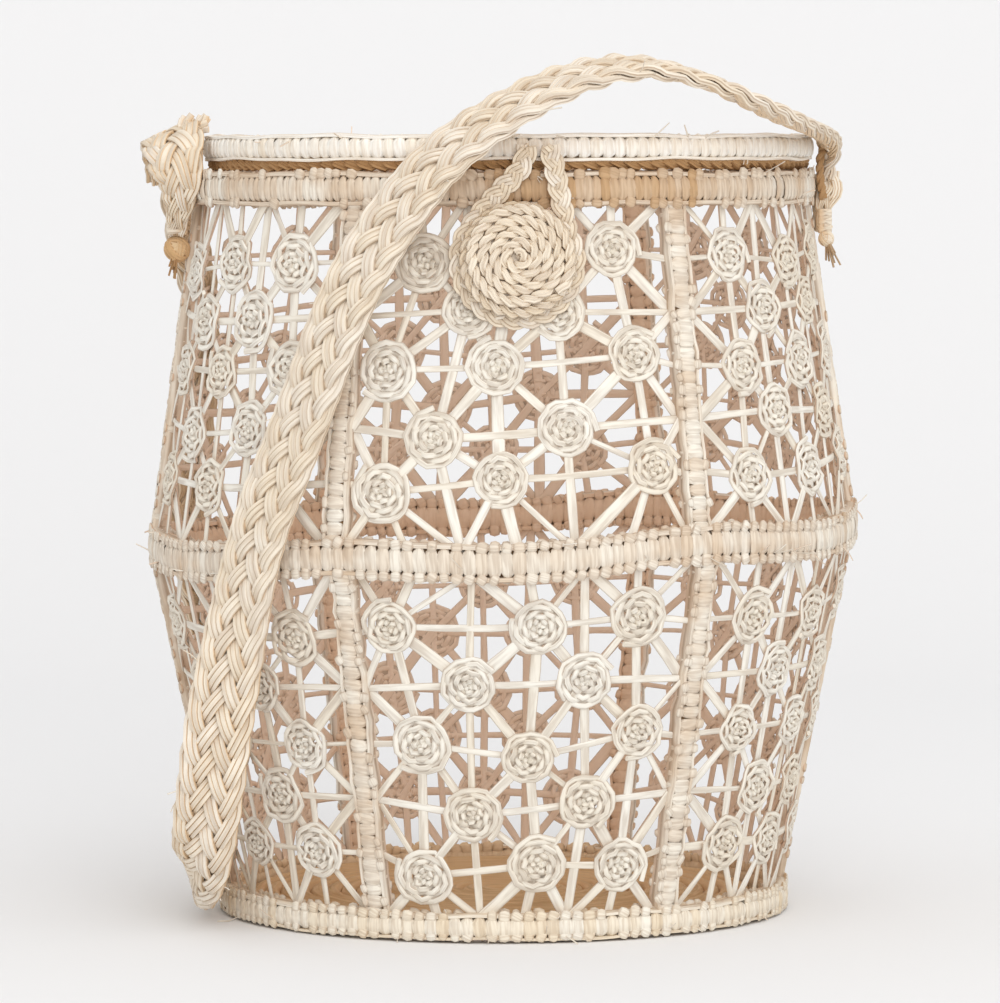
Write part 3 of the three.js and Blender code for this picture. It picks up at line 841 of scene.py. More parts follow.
def place_group(tree, group):
    node = tree.nodes.new("ShaderNodeGroup")
    node.node_tree = group
    return node


def attribute_node(tree, name):
    node = tree.nodes.new("ShaderNodeAttribute")
    node.attribute_name = name
    return node.outputs["Fac"]


def straw_material(name, pale, dry, shade, inside, roughness=0.6):
    """Palm straw: pale to dry, streaked along each straw, tan on faces that look in at the axis (partly
    unbleached straw, partly painted shade and warm bounce light) and darkened with painted shade in its
    grooves.
    """
    material = bpy.data.materials.new(name)
    material.use_nodes = True
    tree = material.node_tree
    shader = tree.nodes["Principled BSDF"]
    along = tree.nodes.new("ShaderNodeUVMap")
    along.uv_map = "straw"
    tone = attribute_node(tree, "tone")
    fibre = place_group(tree, FIBRE)
    tree.links.new(along.outputs["UV"], fibre.inputs["Straw"])
    tree.links.new(tone, fibre.inputs["Tone"])
    place = tree.nodes.new("ShaderNodeTexCoord").outputs["Object"]
    patches = ramp_node(tree, noise_node(tree, place, PATCH_SCALE, PATCH_DETAIL), *PATCH_RANGE)
    groove_shades = ramp_node(tree, attribute_node(tree, "groove_shade"), *GROOVE_SHADE_RANGE)
    inward = place_group(tree, INWARD_TAN_AND_SHADE).outputs["Inside"]
    colour = mix_colours(tree, tone, srgb(pale), srgb(dry))
    layers = [
        (patches, PATCH_SHARE, dry),
        (fibre.outputs["Streak"], STREAK_SHARE, shade),
        # the inward tan: partly unbleached straw, partly painted shade and bounce light
        (inward, INWARD_TAN_AND_SHADE_SHARE, inside),
        # painted shade in the grooves between straws
        (groove_shades, GROOVE_SHADE_SHARE, shade),
    ]
    for mask, share, layer in layers:
        colour = mix_colours(tree, math_node(tree, "MULTIPLY", mask, share), colour, srgb(layer))
    tree.links.new(colour, shader.inputs["Base Color"])
    rough = math_node(tree, "MULTIPLY_ADD", fibre.outputs["Streak"], STREAK_ROUGHNESS)
    rough.node.inputs[2].default_value = roughness
    tree.links.new(rough, shader.inputs["Roughness"])
    shader.inputs["Specular IOR Level"].default_value = STRAW_SPECULAR
    relief = tree.nodes.new("ShaderNodeBump")
    relief.inputs["Strength"].default_value = FIBRE_STRENGTH
    relief.inputs["Distance"].default_value = FIBRE_HEIGHT
    tree.links.new(fibre.outputs["Height"], relief.inputs["Height"])
    tree.links.new(relief.outputs["Normal"], shader.inputs["Normal"])
    return material


# Each straw's colours: pale, dry, shade for grain streaks and for painted shade in grooves, and the inward
# tan, partly unbleached and partly painted shade
WRAPPED = straw_material("wrapped straw", "f5f0e4", "e9d8bd", "9c7850", "f0d0a8")
# The lid ring's paler straw: partly bleached straw, partly painted light from above
BLEACHED_AND_TOP_LIT = straw_material("bleached and top-lit straw", "fcf9f2", "f3e8d6", "b4946c", "f0d0a8")
WEATHERED = straw_material("weathered straw", "f5f0e4", "c9a67e", "8c6844", "eecdb0")
OPENWORK = straw_material("openwork straw", "f4f0e6", "ebe1cf", "86643e", "f8dec8", 0.55)
BRAIDED = straw_material("braided straw", "f5ede0", "e8d8be", "94704a", "eecfa8", 0.58)
COILED = straw_material("coiled straw", "e6cba4", "d2ab7a", "98704a", "dfb98c", 0.68)


def tones(count, middle=STRAW_TONE, spread=STRAW_SPREAD):
    return np.clip(scatter.normal(middle, spread, count), 0, 1)


def one_tone(middle=STRAW_TONE, spread=STRAW_SPREAD):
    return float(tones(1, middle, spread)[0])


def uneven(spread, least, most, count=None, middle=1.0):
    """One size, or several, that vary about a middle."""
    return np.clip(scatter.normal(middle, spread, count), least, most)


def dress(piece, body, slot, *nodes):
    """Rides a piece on its body, in the place of the CAD nodes that it stands for; its slot is not used."""
    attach(piece, body)
    if nodes:
        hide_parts(*nodes)
    return piece


# Smooth runs

CURVE_STEPS = 24


def smooth_run(points, step):
    """A smooth curve through points, as evenly spaced points a step apart. Columns past XYZ follow."""
    points = np.asarray(points, float)
    padded = np.concatenate([2 * points[:1] - points[1:2], points, 2 * points[-1:] - points[-2:-1]])
    share = np.linspace(0, 1, CURVE_STEPS, endpoint=False)[:, None]
    pieces = []
    for a, b, c, d in zip(padded, padded[1:], padded[2:], padded[3:]):
        pieces.append(
            0.5 * (2 * b + (c - a) * share + (2 * a - 5 * b + 4 * c - d) * share**2
                   + (3 * b - 3 * c + d - a) * share**3)
        )
    dense = np.concatenate(pieces + [points[-1:]])
    lengths = np.linalg.norm(np.diff(dense[:, :3], axis=0), axis=1)
    run = np.concatenate([[0], np.cumsum(lengths)])
    count = max(2, round(run[-1] / step) + 1)
    places = np.linspace(0, run[-1], count)
    return np.stack([np.interp(places, run, column) for column in dense.T], axis=1)


def run_length(points):
    return float(np.sum(np.linalg.norm(np.diff(points, axis=0), axis=1)))


def smoothstep(values, low, high):
    share = np.clip((values - low) / (high - low), 0, 1)
    return share * share * (3 - 2 * share)


# Plaits: each strand crosses from edge to edge, over some strands and under as many


def plait(straws, centres, faces, width, thick, strands, crossing, tone=STRAW_TONE, over=1):
    """A flat plait along its centres, as wide as given at each of them, over and under so many at a time."""
    along = unit(np.gradient(centres, axis=0))
    across = unit(np.cross(faces, along))
    out = np.cross(along, across)
    run = np.concatenate([[0], np.cumsum(np.linalg.norm(np.diff(centres, axis=0), axis=1))])
    strand_width = PLAIT_LAP * crossing / strands * width / np.hypot(width, crossing)
    strand_thick = PLAIT_STRAW * thick
    edge = 0.5 / strands
    for number in range(strands):
        phase = (run / crossing + 2 * number / strands) % 2
        crossed = phase % 1
        side = np.where(phase < 1, 2 * crossed - 1, 1 - 2 * crossed)
        side = np.sin(side * PLAIT_BEND) / math.sin(PLAIT_BEND)
        inside = (crossed > edge) & (crossed < 1 - edge)
        wave = -np.cos(math.pi * (strands * crossed / over + (1 - strands / over) / 2))
        rise = np.where(inside, wave, 0) * (thick - strand_thick) / 2
        reach = (width - PLAIT_INSET * strand_width) / 2
        path = centres + across * (side * reach)[:, None] + out * rise[:, None]
        shade = one_tone(tone, PLAIT_SPREAD)
        straws.sweep(path, out, strand_width, strand_thick, shade, FLAT_STRAND)


def gathered_width(from_end, gather):
    width, run = gather
    return width + (STRAP_WIDTH - width) * smoothstep(from_end, 0, run)


def make_strap():
    route = smooth_run(STRAP_ROUTE, STRAP_STEP)
    centres, faces = route[:, :3], route[:, 3:]
    length = run_length(centres)
    run = np.linspace(0, length, len(centres))
    width = np.minimum(gathered_width(run, RIGHT_GATHER), gathered_width(length - run, LEFT_GATHER))
    straws = Straws()
    plait(straws, centres, faces, width, STRAP_THICK, STRAP_STRANDS, STRAP_CROSSING, STRAP_TONE, STRAP_OVER)
    strap = dress(straws.make("strap_plait", BRAIDED), "basket", "braided_straw", "strap")


make_strap()

# Rings: straw wrapped round a core, with stitched edges


def ring_of(node):
    low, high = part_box(node)
    return {"outside": high[0], "bottom": low[2], "top": high[2], "middle": (low[2] + high[2]) / 2}


BASE, WAIST, RIM, LID = (ring_of(f"{name}_ring") for name in ("base", "waist", "rim", "lid"))
LID_BAND = {**LID, "middle": LID["middle"] + LID_BAND_RISE}


def level(angle):
    return 0.0 * angle


def waist_shift(angle):
    """The waist sags between its ribs and climbs to the right."""
    return WAIST_TILT * np.sin(angle) - WAIST_SAG * (0.5 + 0.5 * np.cos(SIDES * angle))


def lid_shift(angle):
    return LID_LIFT + level(angle)


def ring_frames(ring, count, shift):
    """The middles of a ring's wraps, and the ways along it and out of it there."""
    angles = 2 * math.pi * np.arange(count) / count
    outs = np.stack([np.sin(angles), -np.cos(angles), np.zeros(count)], axis=1)
    alongs = np.stack([np.cos(angles), np.sin(angles), np.zeros(count)], axis=1)
    centres = outs * (ring["outside"] - RING_WIDE / 2)
    centres[:, 2] = ring["middle"] + shift(angles)
    return centres, alongs, outs


def wobbles(count):
    """A slow uneven wave round a ring, as a share of its height."""
    turn = 2 * math.pi * np.arange(count) / count
    return sum(np.sin(waves * turn + scatter.uniform(0, 2 * math.pi)) for waves in HOOP_WAVES) / 2


def browned_and_shaded(angle):
    """How far the rim's straw is browned, most at the front right, where it is partly browner straw and
    partly painted shade under the lid.
    """
    away = (angle - BROWN_AND_SHADE_MIDDLE + math.pi) % (2 * math.pi) - math.pi
    return BROWN_LEAST + BROWN_AND_SHADE_MORE * np.exp(-((away / BROWN_AND_SHADE_REACH) ** 2))


def ring_count(ring, pitch):
    return round(2 * math.pi * ring["outside"] / pitch)


def add_shade_core(straws, centres, outs, tall, deep, closed):
    """A core in full shade colour: painted shade that shows between the wraps."""
    straws.sweep(centres, outs, tall * SHADE_CORE_TALL, deep * SHADE_CORE_DEEP, 1.0, ROUND_STRAW, closed, groove_shade=1.0)


def wrapped_ring(
    node, ring, body, tall, stitches,
    tone=STRAW_TONE, shift=level, offset=(0, 0, 0), straw=WRAPPED, pitch=WRAP_PITCH,
):
    """Flat wraps round a core painted dark as the shade between them, with a straw hoop along each edge and a
    few loose stitches.
    """
    straws = Straws()
    count = ring_count(ring, pitch)
    tone = np.broadcast_to(tone, count)
    spread = WEATHERED_SPREAD if straw is WEATHERED else STRAW_SPREAD
    centres, alongs, outs = ring_frames(ring, count, shift)
    centres = centres + np.array(offset)
    lean = alongs + UP * scatter.normal(WRAP_LEAN, RING_LEAN_SPREAD, count)[:, None]
    sizes = 1 + scatter.normal(0, RING_SIZE_SPREAD, (count, 3))
    shades = tones(count, tone, spread)
    straws.stamp(wrap_model(RING_WIDE, tall, pitch), centres, lean, outs, shades, sizes)
    add_shade_core(straws, centres, outs, tall, RING_WIDE, closed=True)
    stitch = stitch_model(*STITCH)
    wide = HOOP_SHARE * tall
    for edge in (-1, 1):
        height = edge * (tall - wide) / 2 + HOOP_WOBBLE * wobbles(count)
        hoop = centres + UP * height[:, None]
        shade = one_tone(tone.mean(), spread)
        straws.sweep(hoop, outs, wide, RING_WIDE * HOOP_DEEP, shade, ROUND_STRAW, closed=True)
        for face in (-1, 1):
            sewn = scatter.random(count) < stitches
            places = (hoop + outs * face * RING_WIDE * HOOP_DEEP * STITCH_OUT)[sewn]
            places[:, 2] = np.maximum(places[:, 2], STITCH_REACH)
            ways = (UP + alongs * scatter.normal(*RING_SLANT, count)[:, None])[sewn]
            lengths = 1 + scatter.normal(0, STITCH_SPREAD, (len(places), 3))
            straws.stamp(stitch, places, ways, (outs * face)[sewn], shades[sewn], lengths)
    dress(straws.make(f"{node}_wraps", straw), body, "wrapped_straw", node)


def rim_tones():
    count = ring_count(RIM, RIM_PITCH)
    return browned_and_shaded(2 * math.pi * np.arange(count) / count)


wrapped_ring("base_ring", BASE, "basket", BASE["top"] - BASE["bottom"] - BASE_TRIM, BASE_STITCHES)
wrapped_ring(
    "waist_ring", WAIST, "basket", WAIST_TALL, WAIST_STITCHES, WAIST_BROWN, waist_shift, straw=WEATHERED
)
wrapped_ring(
    "rim_ring", RIM, "basket", RIM_TALL, RIM_STITCHES, rim_tones(), straw=WEATHERED, pitch=RIM_PITCH
)
wrapped_ring(
    "lid_ring", LID_BAND, "lid", LID_TALL, LID_STITCHES, LID_BLEACHED_AND_LIT_TONE, lid_shift, LID_SHIFT, BLEACHED_AND_TOP_LIT
)

# Tiers: the wall between two rings


class Tier:
    """The wall between two rings, which leans from one to the other and follows the waist's shift."""

    def __init__(self, name, turn, low, high, shifts):
        self.name, self.turn = name, turn
        self.bottom, self.top = low["top"], high["bottom"]
        self.low_radius = low["outside"] - RING_WIDE / 2
        self.high_radius = high["outside"] - RING_WIDE / 2
        self.shifts = shifts
        self.lean = math.atan2(self.high_radius - self.low_radius, self.top - self.bottom)

    def radius(self, share):
        return self.low_radius + (self.high_radius - self.low_radius) * share

    def point(self, angle, share, off=0.0):
        radius = self.radius(share) + off * math.cos(self.lean)
        shift = waist_shift(angle) * (self.shifts[0] * (1 - share) + self.shifts[1] * share)
        z = self.bottom + (self.top - self.bottom) * share + shift - off * math.sin(self.lean)
        return np.array([radius * math.sin(angle), -radius * math.cos(angle), z])

    def out(self, angle):
        return outward(angle) * math.cos(self.lean) - UP * math.sin(self.lean)

    def up(self, angle):
        return outward(angle) * math.sin(self.lean) + UP * math.cos(self.lean)

    def half_angle(self, share):
        return SIDE_ANGLE / 2 - math.asin(RIB_HALF / self.radius(share))


LOWER = Tier("lower", LOWER_TURN, BASE, WAIST, (0, 1))
UPPER = Tier("upper", 0.0, WAIST, RIM, (1, 0))


def make_rib(tier, number):
    """A wrapped upright round a core painted dark as the shade between its wraps, with a straw along both its
    edges.
    """
    angle = tier.turn + (number - 0.5) * SIDE_ANGLE
    right, out = rightward(angle), tier.out(angle)
    straws = Straws()
    height = tier.top - tier.bottom
    tuck = SPOKE_TUCK / height
    count = round(height * (1 + 2 * tuck) / WRAP_PITCH)
    shares = -tuck + (1 + 2 * tuck) * (np.arange(count) + 0.5) / count
    centres = np.array([tier.point(angle, share) for share in shares])
    runs = tier.up(angle) + right * scatter.normal(WRAP_LEAN, RIB_LEAN_SPREAD, count)[:, None]
    sizes = 1 + scatter.normal(0, RIB_SIZE_SPREAD, (count, 3))
    shades = tones(count, RIB_BROWN, WEATHERED_SPREAD)
    straws.stamp(wrap_model(RIB_DEEP, RIB_WRAP, WRAP_PITCH), centres, runs, out, shades, sizes)
    add_shade_core(straws, centres, out, RIB_WRAP, RIB_DEEP, closed=False)
    stitch = stitch_model(*STITCH)
    for side in (-1, 1):
        aside = side * (RIB_WRAP - RIB_HOOP) / 2 + scatter.normal(0, HOOP_WOBBLE, count)
        edge = centres + np.outer(aside, right)
        shade = one_tone(RIB_BROWN, WEATHERED_SPREAD)
        straws.sweep(edge, out, RIB_HOOP, RIB_DEEP * HOOP_DEEP, shade, ROUND_STRAW)
        for face in (-1, 1):
            sewn = scatter.random(count) < RIB_STITCHES
            places = (edge + out * face * RIB_DEEP * HOOP_DEEP * STITCH_OUT)[sewn]
            ways = right + tier.up(angle) * scatter.normal(*RIB_SLANT, len(places))[:, None]
            lengths = RIB_STITCH + scatter.normal(0, STITCH_SPREAD, (len(places), 3))
            straws.stamp(stitch, places, ways, out * face, shades[sewn], lengths)
    node = f"{tier.name}_rib_{number}"
    dress(straws.make(f"{node}_wraps", WEATHERED), "basket", "wrapped_straw", node)


ROSETTES = [rosette_model(ROSETTE_RADIUS, seed) for seed in range(ROSETTE_KINDS)]


def make_panel(tier, number):
    """Rosettes on every second place of a grid, joined by upright, level and slanting spokes."""
    middle = tier.turn + (number - 1) * SIDE_ANGLE
    nudges = FRONT_NUDGES[tier.name] if number == 1 else {}
    height = tier.top - tier.bottom
    straws = Straws()
    steps = LAST_CELL + 2

    def place(column, row):
        share = (row + 1) / steps
        angle = middle + ((column + 1) / steps - 0.5) * 2 * tier.half_angle(share)
        if column in (-1, steps - 1):
            angle = angle + math.copysign(SPOKE_TUCK / tier.radius(share), column)
        if row in (-1, steps - 1):
            share = share + math.copysign(SPOKE_TUCK / height, row)
        if not (0 <= column <= LAST_CELL and 0 <= row <= LAST_CELL):
            return angle, share
        right, up = nudges.get((column, row), scatter.normal(0, ROSETTE_SCATTER, 2))
        return angle + right / tier.radius(share), share + up / height

    cells = [(c, r) for c in range(-1, steps) for r in range(-1, steps)]
    grid = {cell: place(*cell) for cell in cells}
    is_rosette = {
        (c, r): (c + r) % 2 == 0 and 0 <= c <= LAST_CELL and 0 <= r <= LAST_CELL for c, r in cells
    }

    def spoke(stops, width, off):
        points = []
        for (a0, s0), (a1, s1) in zip(stops, stops[1:]):
            for share in SPOKE_STATIONS:
                points.append((a0 + (a1 - a0) * share, s0 + (s1 - s0) * share))
        points.append(stops[-1])
        run = np.array([tier.point(angle, share, off) for angle, share in points])
        outs = np.array([tier.out(angle) for angle, _ in points])
        own_width = width * uneven(*SPOKE_UNEVEN)
        widths = own_width * uneven(*SPOKE_WAVER, len(points))
        straws.sweep(run, outs, widths, SPOKE_THICK, one_tone(*SPOKE_TONE))

    for line in range(LAST_CELL + 1):
        upright = [(line, r) for r in range(-1, steps)]
        across = [(c, line) for c in range(-1, steps)]
        for run, width, off in ((upright, UPRIGHT_WIDTH, UPRIGHT_OFF), (across, LEVEL_WIDTH, LEVEL_OFF)):
            ends = (run[0], run[-1])
            spoke([grid[cell] for cell in run if is_rosette[cell] or cell in ends], width, off)
    for column in range(-1, LAST_CELL + 1):
        for row in range(-1, LAST_CELL + 1):
            even = (column + row) % 2 == 0
            start = (column, row) if even else (column, row + 1)
            end = (column + 1, row + 1) if even else (column + 1, row)
            spoke([grid[start], grid[end]], DIAGONAL_WIDTH, DIAGONAL_OFF if even else -DIAGONAL_OFF)
    for cell in filter(is_rosette.get, cells):
        angle, share = grid[cell]
        turn = scatter.uniform(0, 2 * math.pi)
        along = rightward(angle) * math.cos(turn) + tier.up(angle) * math.sin(turn)
        size = scatter.normal(1, ROSETTE_SIZES)
        model = ROSETTES[scatter.integers(len(ROSETTES))]
        tone = one_tone(*ROSETTE_TONE)
        centre = tier.point(angle, share, ROSETTE_WEAVE / 2)
        straws.stamp(model, [centre], along, tier.out(angle), tone, (size, 1, size))
    node = f"{tier.name}_panel_{number}"
    dress(straws.make(f"{node}_rosettes", OPENWORK), "basket", "openwork_straw", node)


for tier in (LOWER, UPPER):
    for number in range(1, SIDES + 1):
        make_panel(tier, number)
        make_rib(tier, number)

# Base: one flat coil of straw


def make_base():
    low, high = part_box("base_disc")
    radius = high[0] - BASE_INSET
    turns = (radius - BASE_COIL / 2) / BASE_COIL
    count = int(turns * BASE_STATIONS)
    turn = 2 * math.pi * turns * np.arange(count + 1) / count
    reach = BASE_COIL / 2 + (radius - BASE_COIL) * np.arange(count + 1) / count
    height = (low[2] + high[2]) / 2
    centres = np.stack([reach * np.sin(turn), -reach * np.cos(turn), np.full(count + 1, height)], axis=1)
    straws = Straws()
    straws.sweep(centres, UP, BASE_COIL * BASE_LAP, high[2] - low[2], BASE_TONE, oval(8))
    dress(straws.make("base_coil", COILED), "basket", "coiled_straw", "base_disc")


make_base()

# Lid openwork: a coiled hub and two rings of rosettes


def make_lid_panel():
    straws = Straws()
    hub = LID_SHIFT + UP * (LID["middle"] + LID_LIFT)
    edge = LID["outside"] - RING_WIDE + LID_TUCK
    step = 2 * math.pi / LID_ROSETTES

    def place(distance, number, stray=0.0):
        angle = number * step + stray * scatter.normal(0, LID_SCATTER)
        return hub + distance * rightward(angle)

    inner = [place(LID_INNER, k, 1) for k in range(LID_ROSETTES)]
    outer = [place(LID_OUTER, k + 0.5, 1) for k in range(LID_ROSETTES)]
    rim = [place(edge, k / 2) for k in range(2 * LID_ROSETTES)]

    def spoke(start, end, width, off):
        run = np.linspace(start, end, 4) + UP * off
        straws.sweep(run, UP, width, SPOKE_THICK, one_tone(*LID_SPOKE_TONE))

    for k in range(LID_ROSETTES):
        after = (k + 1) % LID_ROSETTES
        spoke(hub, inner[k], DIAGONAL_WIDTH, 0)
        spoke(inner[k], outer[k], DIAGONAL_WIDTH, DIAGONAL_OFF)
        spoke(inner[after], outer[k], DIAGONAL_WIDTH, -DIAGONAL_OFF)
        spoke(outer[k], rim[2 * k], DIAGONAL_WIDTH, DIAGONAL_OFF)
        spoke(outer[k], rim[2 * after], DIAGONAL_WIDTH, -DIAGONAL_OFF)
        spoke(outer[k], rim[2 * k + 1], UPRIGHT_WIDTH, 0)
        spoke(inner[k], rim[2 * k], UPRIGHT_WIDTH, UPRIGHT_OFF)
        spoke(inner[k], inner[after], LEVEL_WIDTH, LEVEL_OFF)
        spoke(outer[k], outer[after], LEVEL_WIDTH, LEVEL_OFF)
    for centre in inner + outer:
        turn = scatter.uniform(0, 2 * math.pi)
        model = ROSETTES[scatter.integers(len(ROSETTES))]
        straws.stamp(model, [centre], rightward(turn), UP, one_tone(*ROSETTE_TONE))
    straws.stamp(rosette_model(LID_HUB, LID_HUB_KIND), [hub], rightward(0), UP, HUB_TONE)
    dress(straws.make("lid_rosettes", OPENWORK), "lid", "openwork_straw", "lid_panel")


make_lid_panel()

# Twisted cords


def rope(straws, run, outs, diameter, pitch, tone, groove_shade=0.0):
    """A cord of twisted plies along a run."""
    along = unit(np.gradient(run, axis=0))
    across = unit(np.cross(np.broadcast_to(outs, run.shape), along))
    out = np.cross(along, across)
    steps = np.linalg.norm(np.diff(run, axis=0), axis=1)
    turn = 2 * math.pi * np.concatenate([[0], np.cumsum(steps)]) / pitch
    ply = diameter * PLY_SHARE
    swing = (diameter - ply) / 2
    for number in range(PLIES):
        angle = turn + 2 * math.pi * number / PLIES
        path = run + swing * (across * np.cos(angle)[:, None] + out * np.sin(angle)[:, None])
        width = ply * uneven(*PLY_UNEVEN, len(path), PLY_WIDE)
        shade = one_tone(tone, PLY_SPREAD)
        straws.sweep(path, out, width, ply, shade, RIDGED_STRAND, groove_shade=groove_shade)


def make_backing(centre, right, up, out):
    """The button's flat core, which its cords hide from the front."""
    bpy.ops.object.select_all(action="DESELECT")
    bpy.ops.mesh.primitive_cylinder_add(
        vertices=BACKING_SIDES,
        radius=BUTTON_RADIUS - BUTTON_CORD,
        depth=BUTTON_THICK * BACKING_SHARE,
    )
    backing = bpy.context.object
    bpy.ops.object.mode_set(mode="EDIT")
    bpy.ops.mesh.select_all(action="SELECT")
    bpy.ops.mesh.bevel(offset=BACKING_BEVEL, segments=3)
    bpy.ops.object.mode_set(mode="OBJECT")
    turn = Matrix((Vector(right), Vector(up), Vector(out))).transposed().to_4x4()
    backing.data.transform(Matrix.Translation(Vector(centre - out * BACKING_SET_BACK)) @ turn)
    backing.name = "button_backing"
    finish_piece(backing, BRAIDED)
    dress(backing, "basket", "braided_straw", "button_disc")


def make_shank(up, out):
    middle = np.array(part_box("button_shank")).mean(axis=0)
    run = np.stack([middle - out * SHANK_HALF, middle, middle + out * SHANK_HALF])
    straws = Straws()
    straws.sweep(run, up, SHANK_WIDE, SHANK_WIDE, SHANK_TONE, oval(12))
    dress(straws.make("button_thread", BRAIDED), "basket", "braided_straw", "button_shank")


def make_button():
    """A crowned spiral of cord on its backing, a cord round its edge, and its shank."""
    low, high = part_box("button_disc")
    centre = (np.array(low) + np.array(high)) / 2
    right, up, out = rightward(0.0), UPPER.up(0.0), UPPER.out(0.0)

    def around(reach, angle):
        return centre + np.outer(reach * np.cos(angle), right) + np.outer(reach * np.sin(angle), up)

    make_backing(centre, right, up, out)
    straws = Straws()
    count = int(BUTTON_TURNS * BUTTON_STATIONS)
    share = np.arange(count + 1) / count
    angle = BUTTON_START + 2 * math.pi * BUTTON_TURNS * share
    reach = (BUTTON_RADIUS - BUTTON_CORD / 2) * (1 - share) + BUTTON_EYE * share
    crown = BUTTON_THICK / 2 - BUTTON_CORD / 2 + BUTTON_CROWN * (1 - (reach / BUTTON_RADIUS) ** 2)
    spiral = around(reach, angle) + np.outer(crown, out)
    rope(straws, spiral, out, BUTTON_CORD, BUTTON_TWIST, BUTTON_TONE)
    edge = BUTTON_RADIUS - BUTTON_CORD * SKIRT_INSET
    skirt = around(edge, np.linspace(0, 2 * math.pi, SKIRT_STATIONS)) - out * BUTTON_THICK * SKIRT_SET_BACK
    rope(straws, skirt, out, BUTTON_CORD, BUTTON_TWIST, SKIRT_TONE)
    dress(straws.make("button_coil", BRAIDED), "basket", "braided_straw")
    make_shank(up, out)


make_button()


def make_lid_flange():
    """A brown twisted cord under the lid's ring, which fills its gap over the rim; its dark brown is partly
    its straw and partly painted shade under the lid.
    """
    ring = {**LID, "middle": LID["bottom"] + LID_FLANGE / 2 - LID_FLANGE_DROP}
    centres, _, outs = ring_frames(ring, LID_FLANGE_STATIONS, lid_shift)
    straws = Straws()
    closed = np.concatenate([centres, centres[:1]]) + LID_SHIFT
    ways = np.concatenate([outs, outs[:1]])
    rope(straws, closed, ways, LID_FLANGE, LID_FLANGE_PITCH, 1.0, BROWN_AND_SHADE_GROOVE)
    dress(straws.make("lid_flange_cord", COILED), "lid", "coiled_straw")


make_lid_flange()


def make_loop():
    """A flat plaited loop, tucked behind the button's edge and sewn to the lid's front edge by both ends."""
    shank = np.mean(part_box("button_shank"), axis=0)
    front = -(RIM["outside"] + LOOP_THICK / 2)
    lid_front = LID_SHIFT[1] - LID["outside"] - LOOP_THICK / 2
    top = LID["middle"] + LOOP_TOP

    def stop(turn):
        angle = math.radians(turn)
        z = shank[2] - LOOP_RADIUS * math.cos(angle)
        share = min((z - UPPER.bottom) / (UPPER.top - UPPER.bottom), 1)
        wall = -UPPER.radius(share) - LOOP_THICK * LOOP_LIFT
        return LOOP_RADIUS * math.sin(angle), min(front, wall), z

    ends = [(lid_front, top), (lid_front - LOOP_PROUD, LID["bottom"]), (front, RIM["bottom"] + LOOP_RIM)]
    left = [(LOOP_ANCHOR + aside, *end) for aside, end in zip(LOOP_LEFT, ends)]
    right = [(LOOP_ANCHOR + aside, *end) for aside, end in zip(LOOP_RIGHT, ends)]
    run = smooth_run(left + [stop(turn) for turn in LOOP_TURNS] + right[::-1], LOOP_STEP)
    straws = Straws()
    width = np.full(len(run), LOOP_WIDTH)
    plait(straws, run, FRONT, width, LOOP_THICK, LOOP_STRANDS, LOOP_CROSSING, LOOP_SHADE_TONE)
    braid = straws.make("closure_braid", BRAIDED)
    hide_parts("closure_loop")
    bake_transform(braid)


make_loop()

# Gathered strap ends and their knots


def add_tuft(straws, crown, out, count):
    """Cut straw ends that stand up from an ear's crown."""
    for _ in range(count):
        foot = crown - out * scatter.uniform(*TUFT_FEET) + UP * TUFT_LIFT
        way = UP * TUFT_UP + unit(scatter.normal(0, 1, 3)) * TUFT_STRAY - out * TUFT_IN
        run = np.array([foot, foot + way * TUFT_BEND, foot + way * TUFT_LENGTH - out * TUFT_DROOP])
        straws.sweep(run, TUFT_FACE, *TUFT_STRAW, one_tone(TUFT_TONE))


def make_ear(name, side):
    """The strap's end, folded over itself and gathered into a tail that is bound round."""
    stops = np.array(EAR_STOPS[name])
    out = outward(side * math.pi / 2)
    straws = Straws()
    for layer in (0, 1):
        run = smooth_run(stops * np.array([1, 1, 1, 1 - EAR_NARROWING * layer]), EAR_STEP)
        centres, width = run[:, :3], run[:, 3]
        faces = unit(np.cross(np.gradient(centres, axis=0), out)) * side + EAR_LEAN * out
        inner = centres - unit(faces) * EAR_LAYER * layer
        plait(straws, inner, faces, width, EAR_THICK, EAR_STRANDS, EAR_CROSSING, EAR_TONE, EAR_OVER)
    tail = stops[-1, :3]
    binding = wrap_model(BINDING[name], BINDING[name], BINDING_PITCH)
    places = np.array([tail + UP * BINDING_STEP * k for k in range(BINDING_TURNS)])
    straws.stamp(binding, places, UP, out, tones(BINDING_TURNS, BINDING_TONE))
    add_tuft(straws, stops[EAR_CROWN, :3], out, EAR_TUFTS[name])
    node = f"strap_ear_{name}"
    dress(straws.make(f"{node}_straws", BRAIDED), "basket", "braided_straw", node)


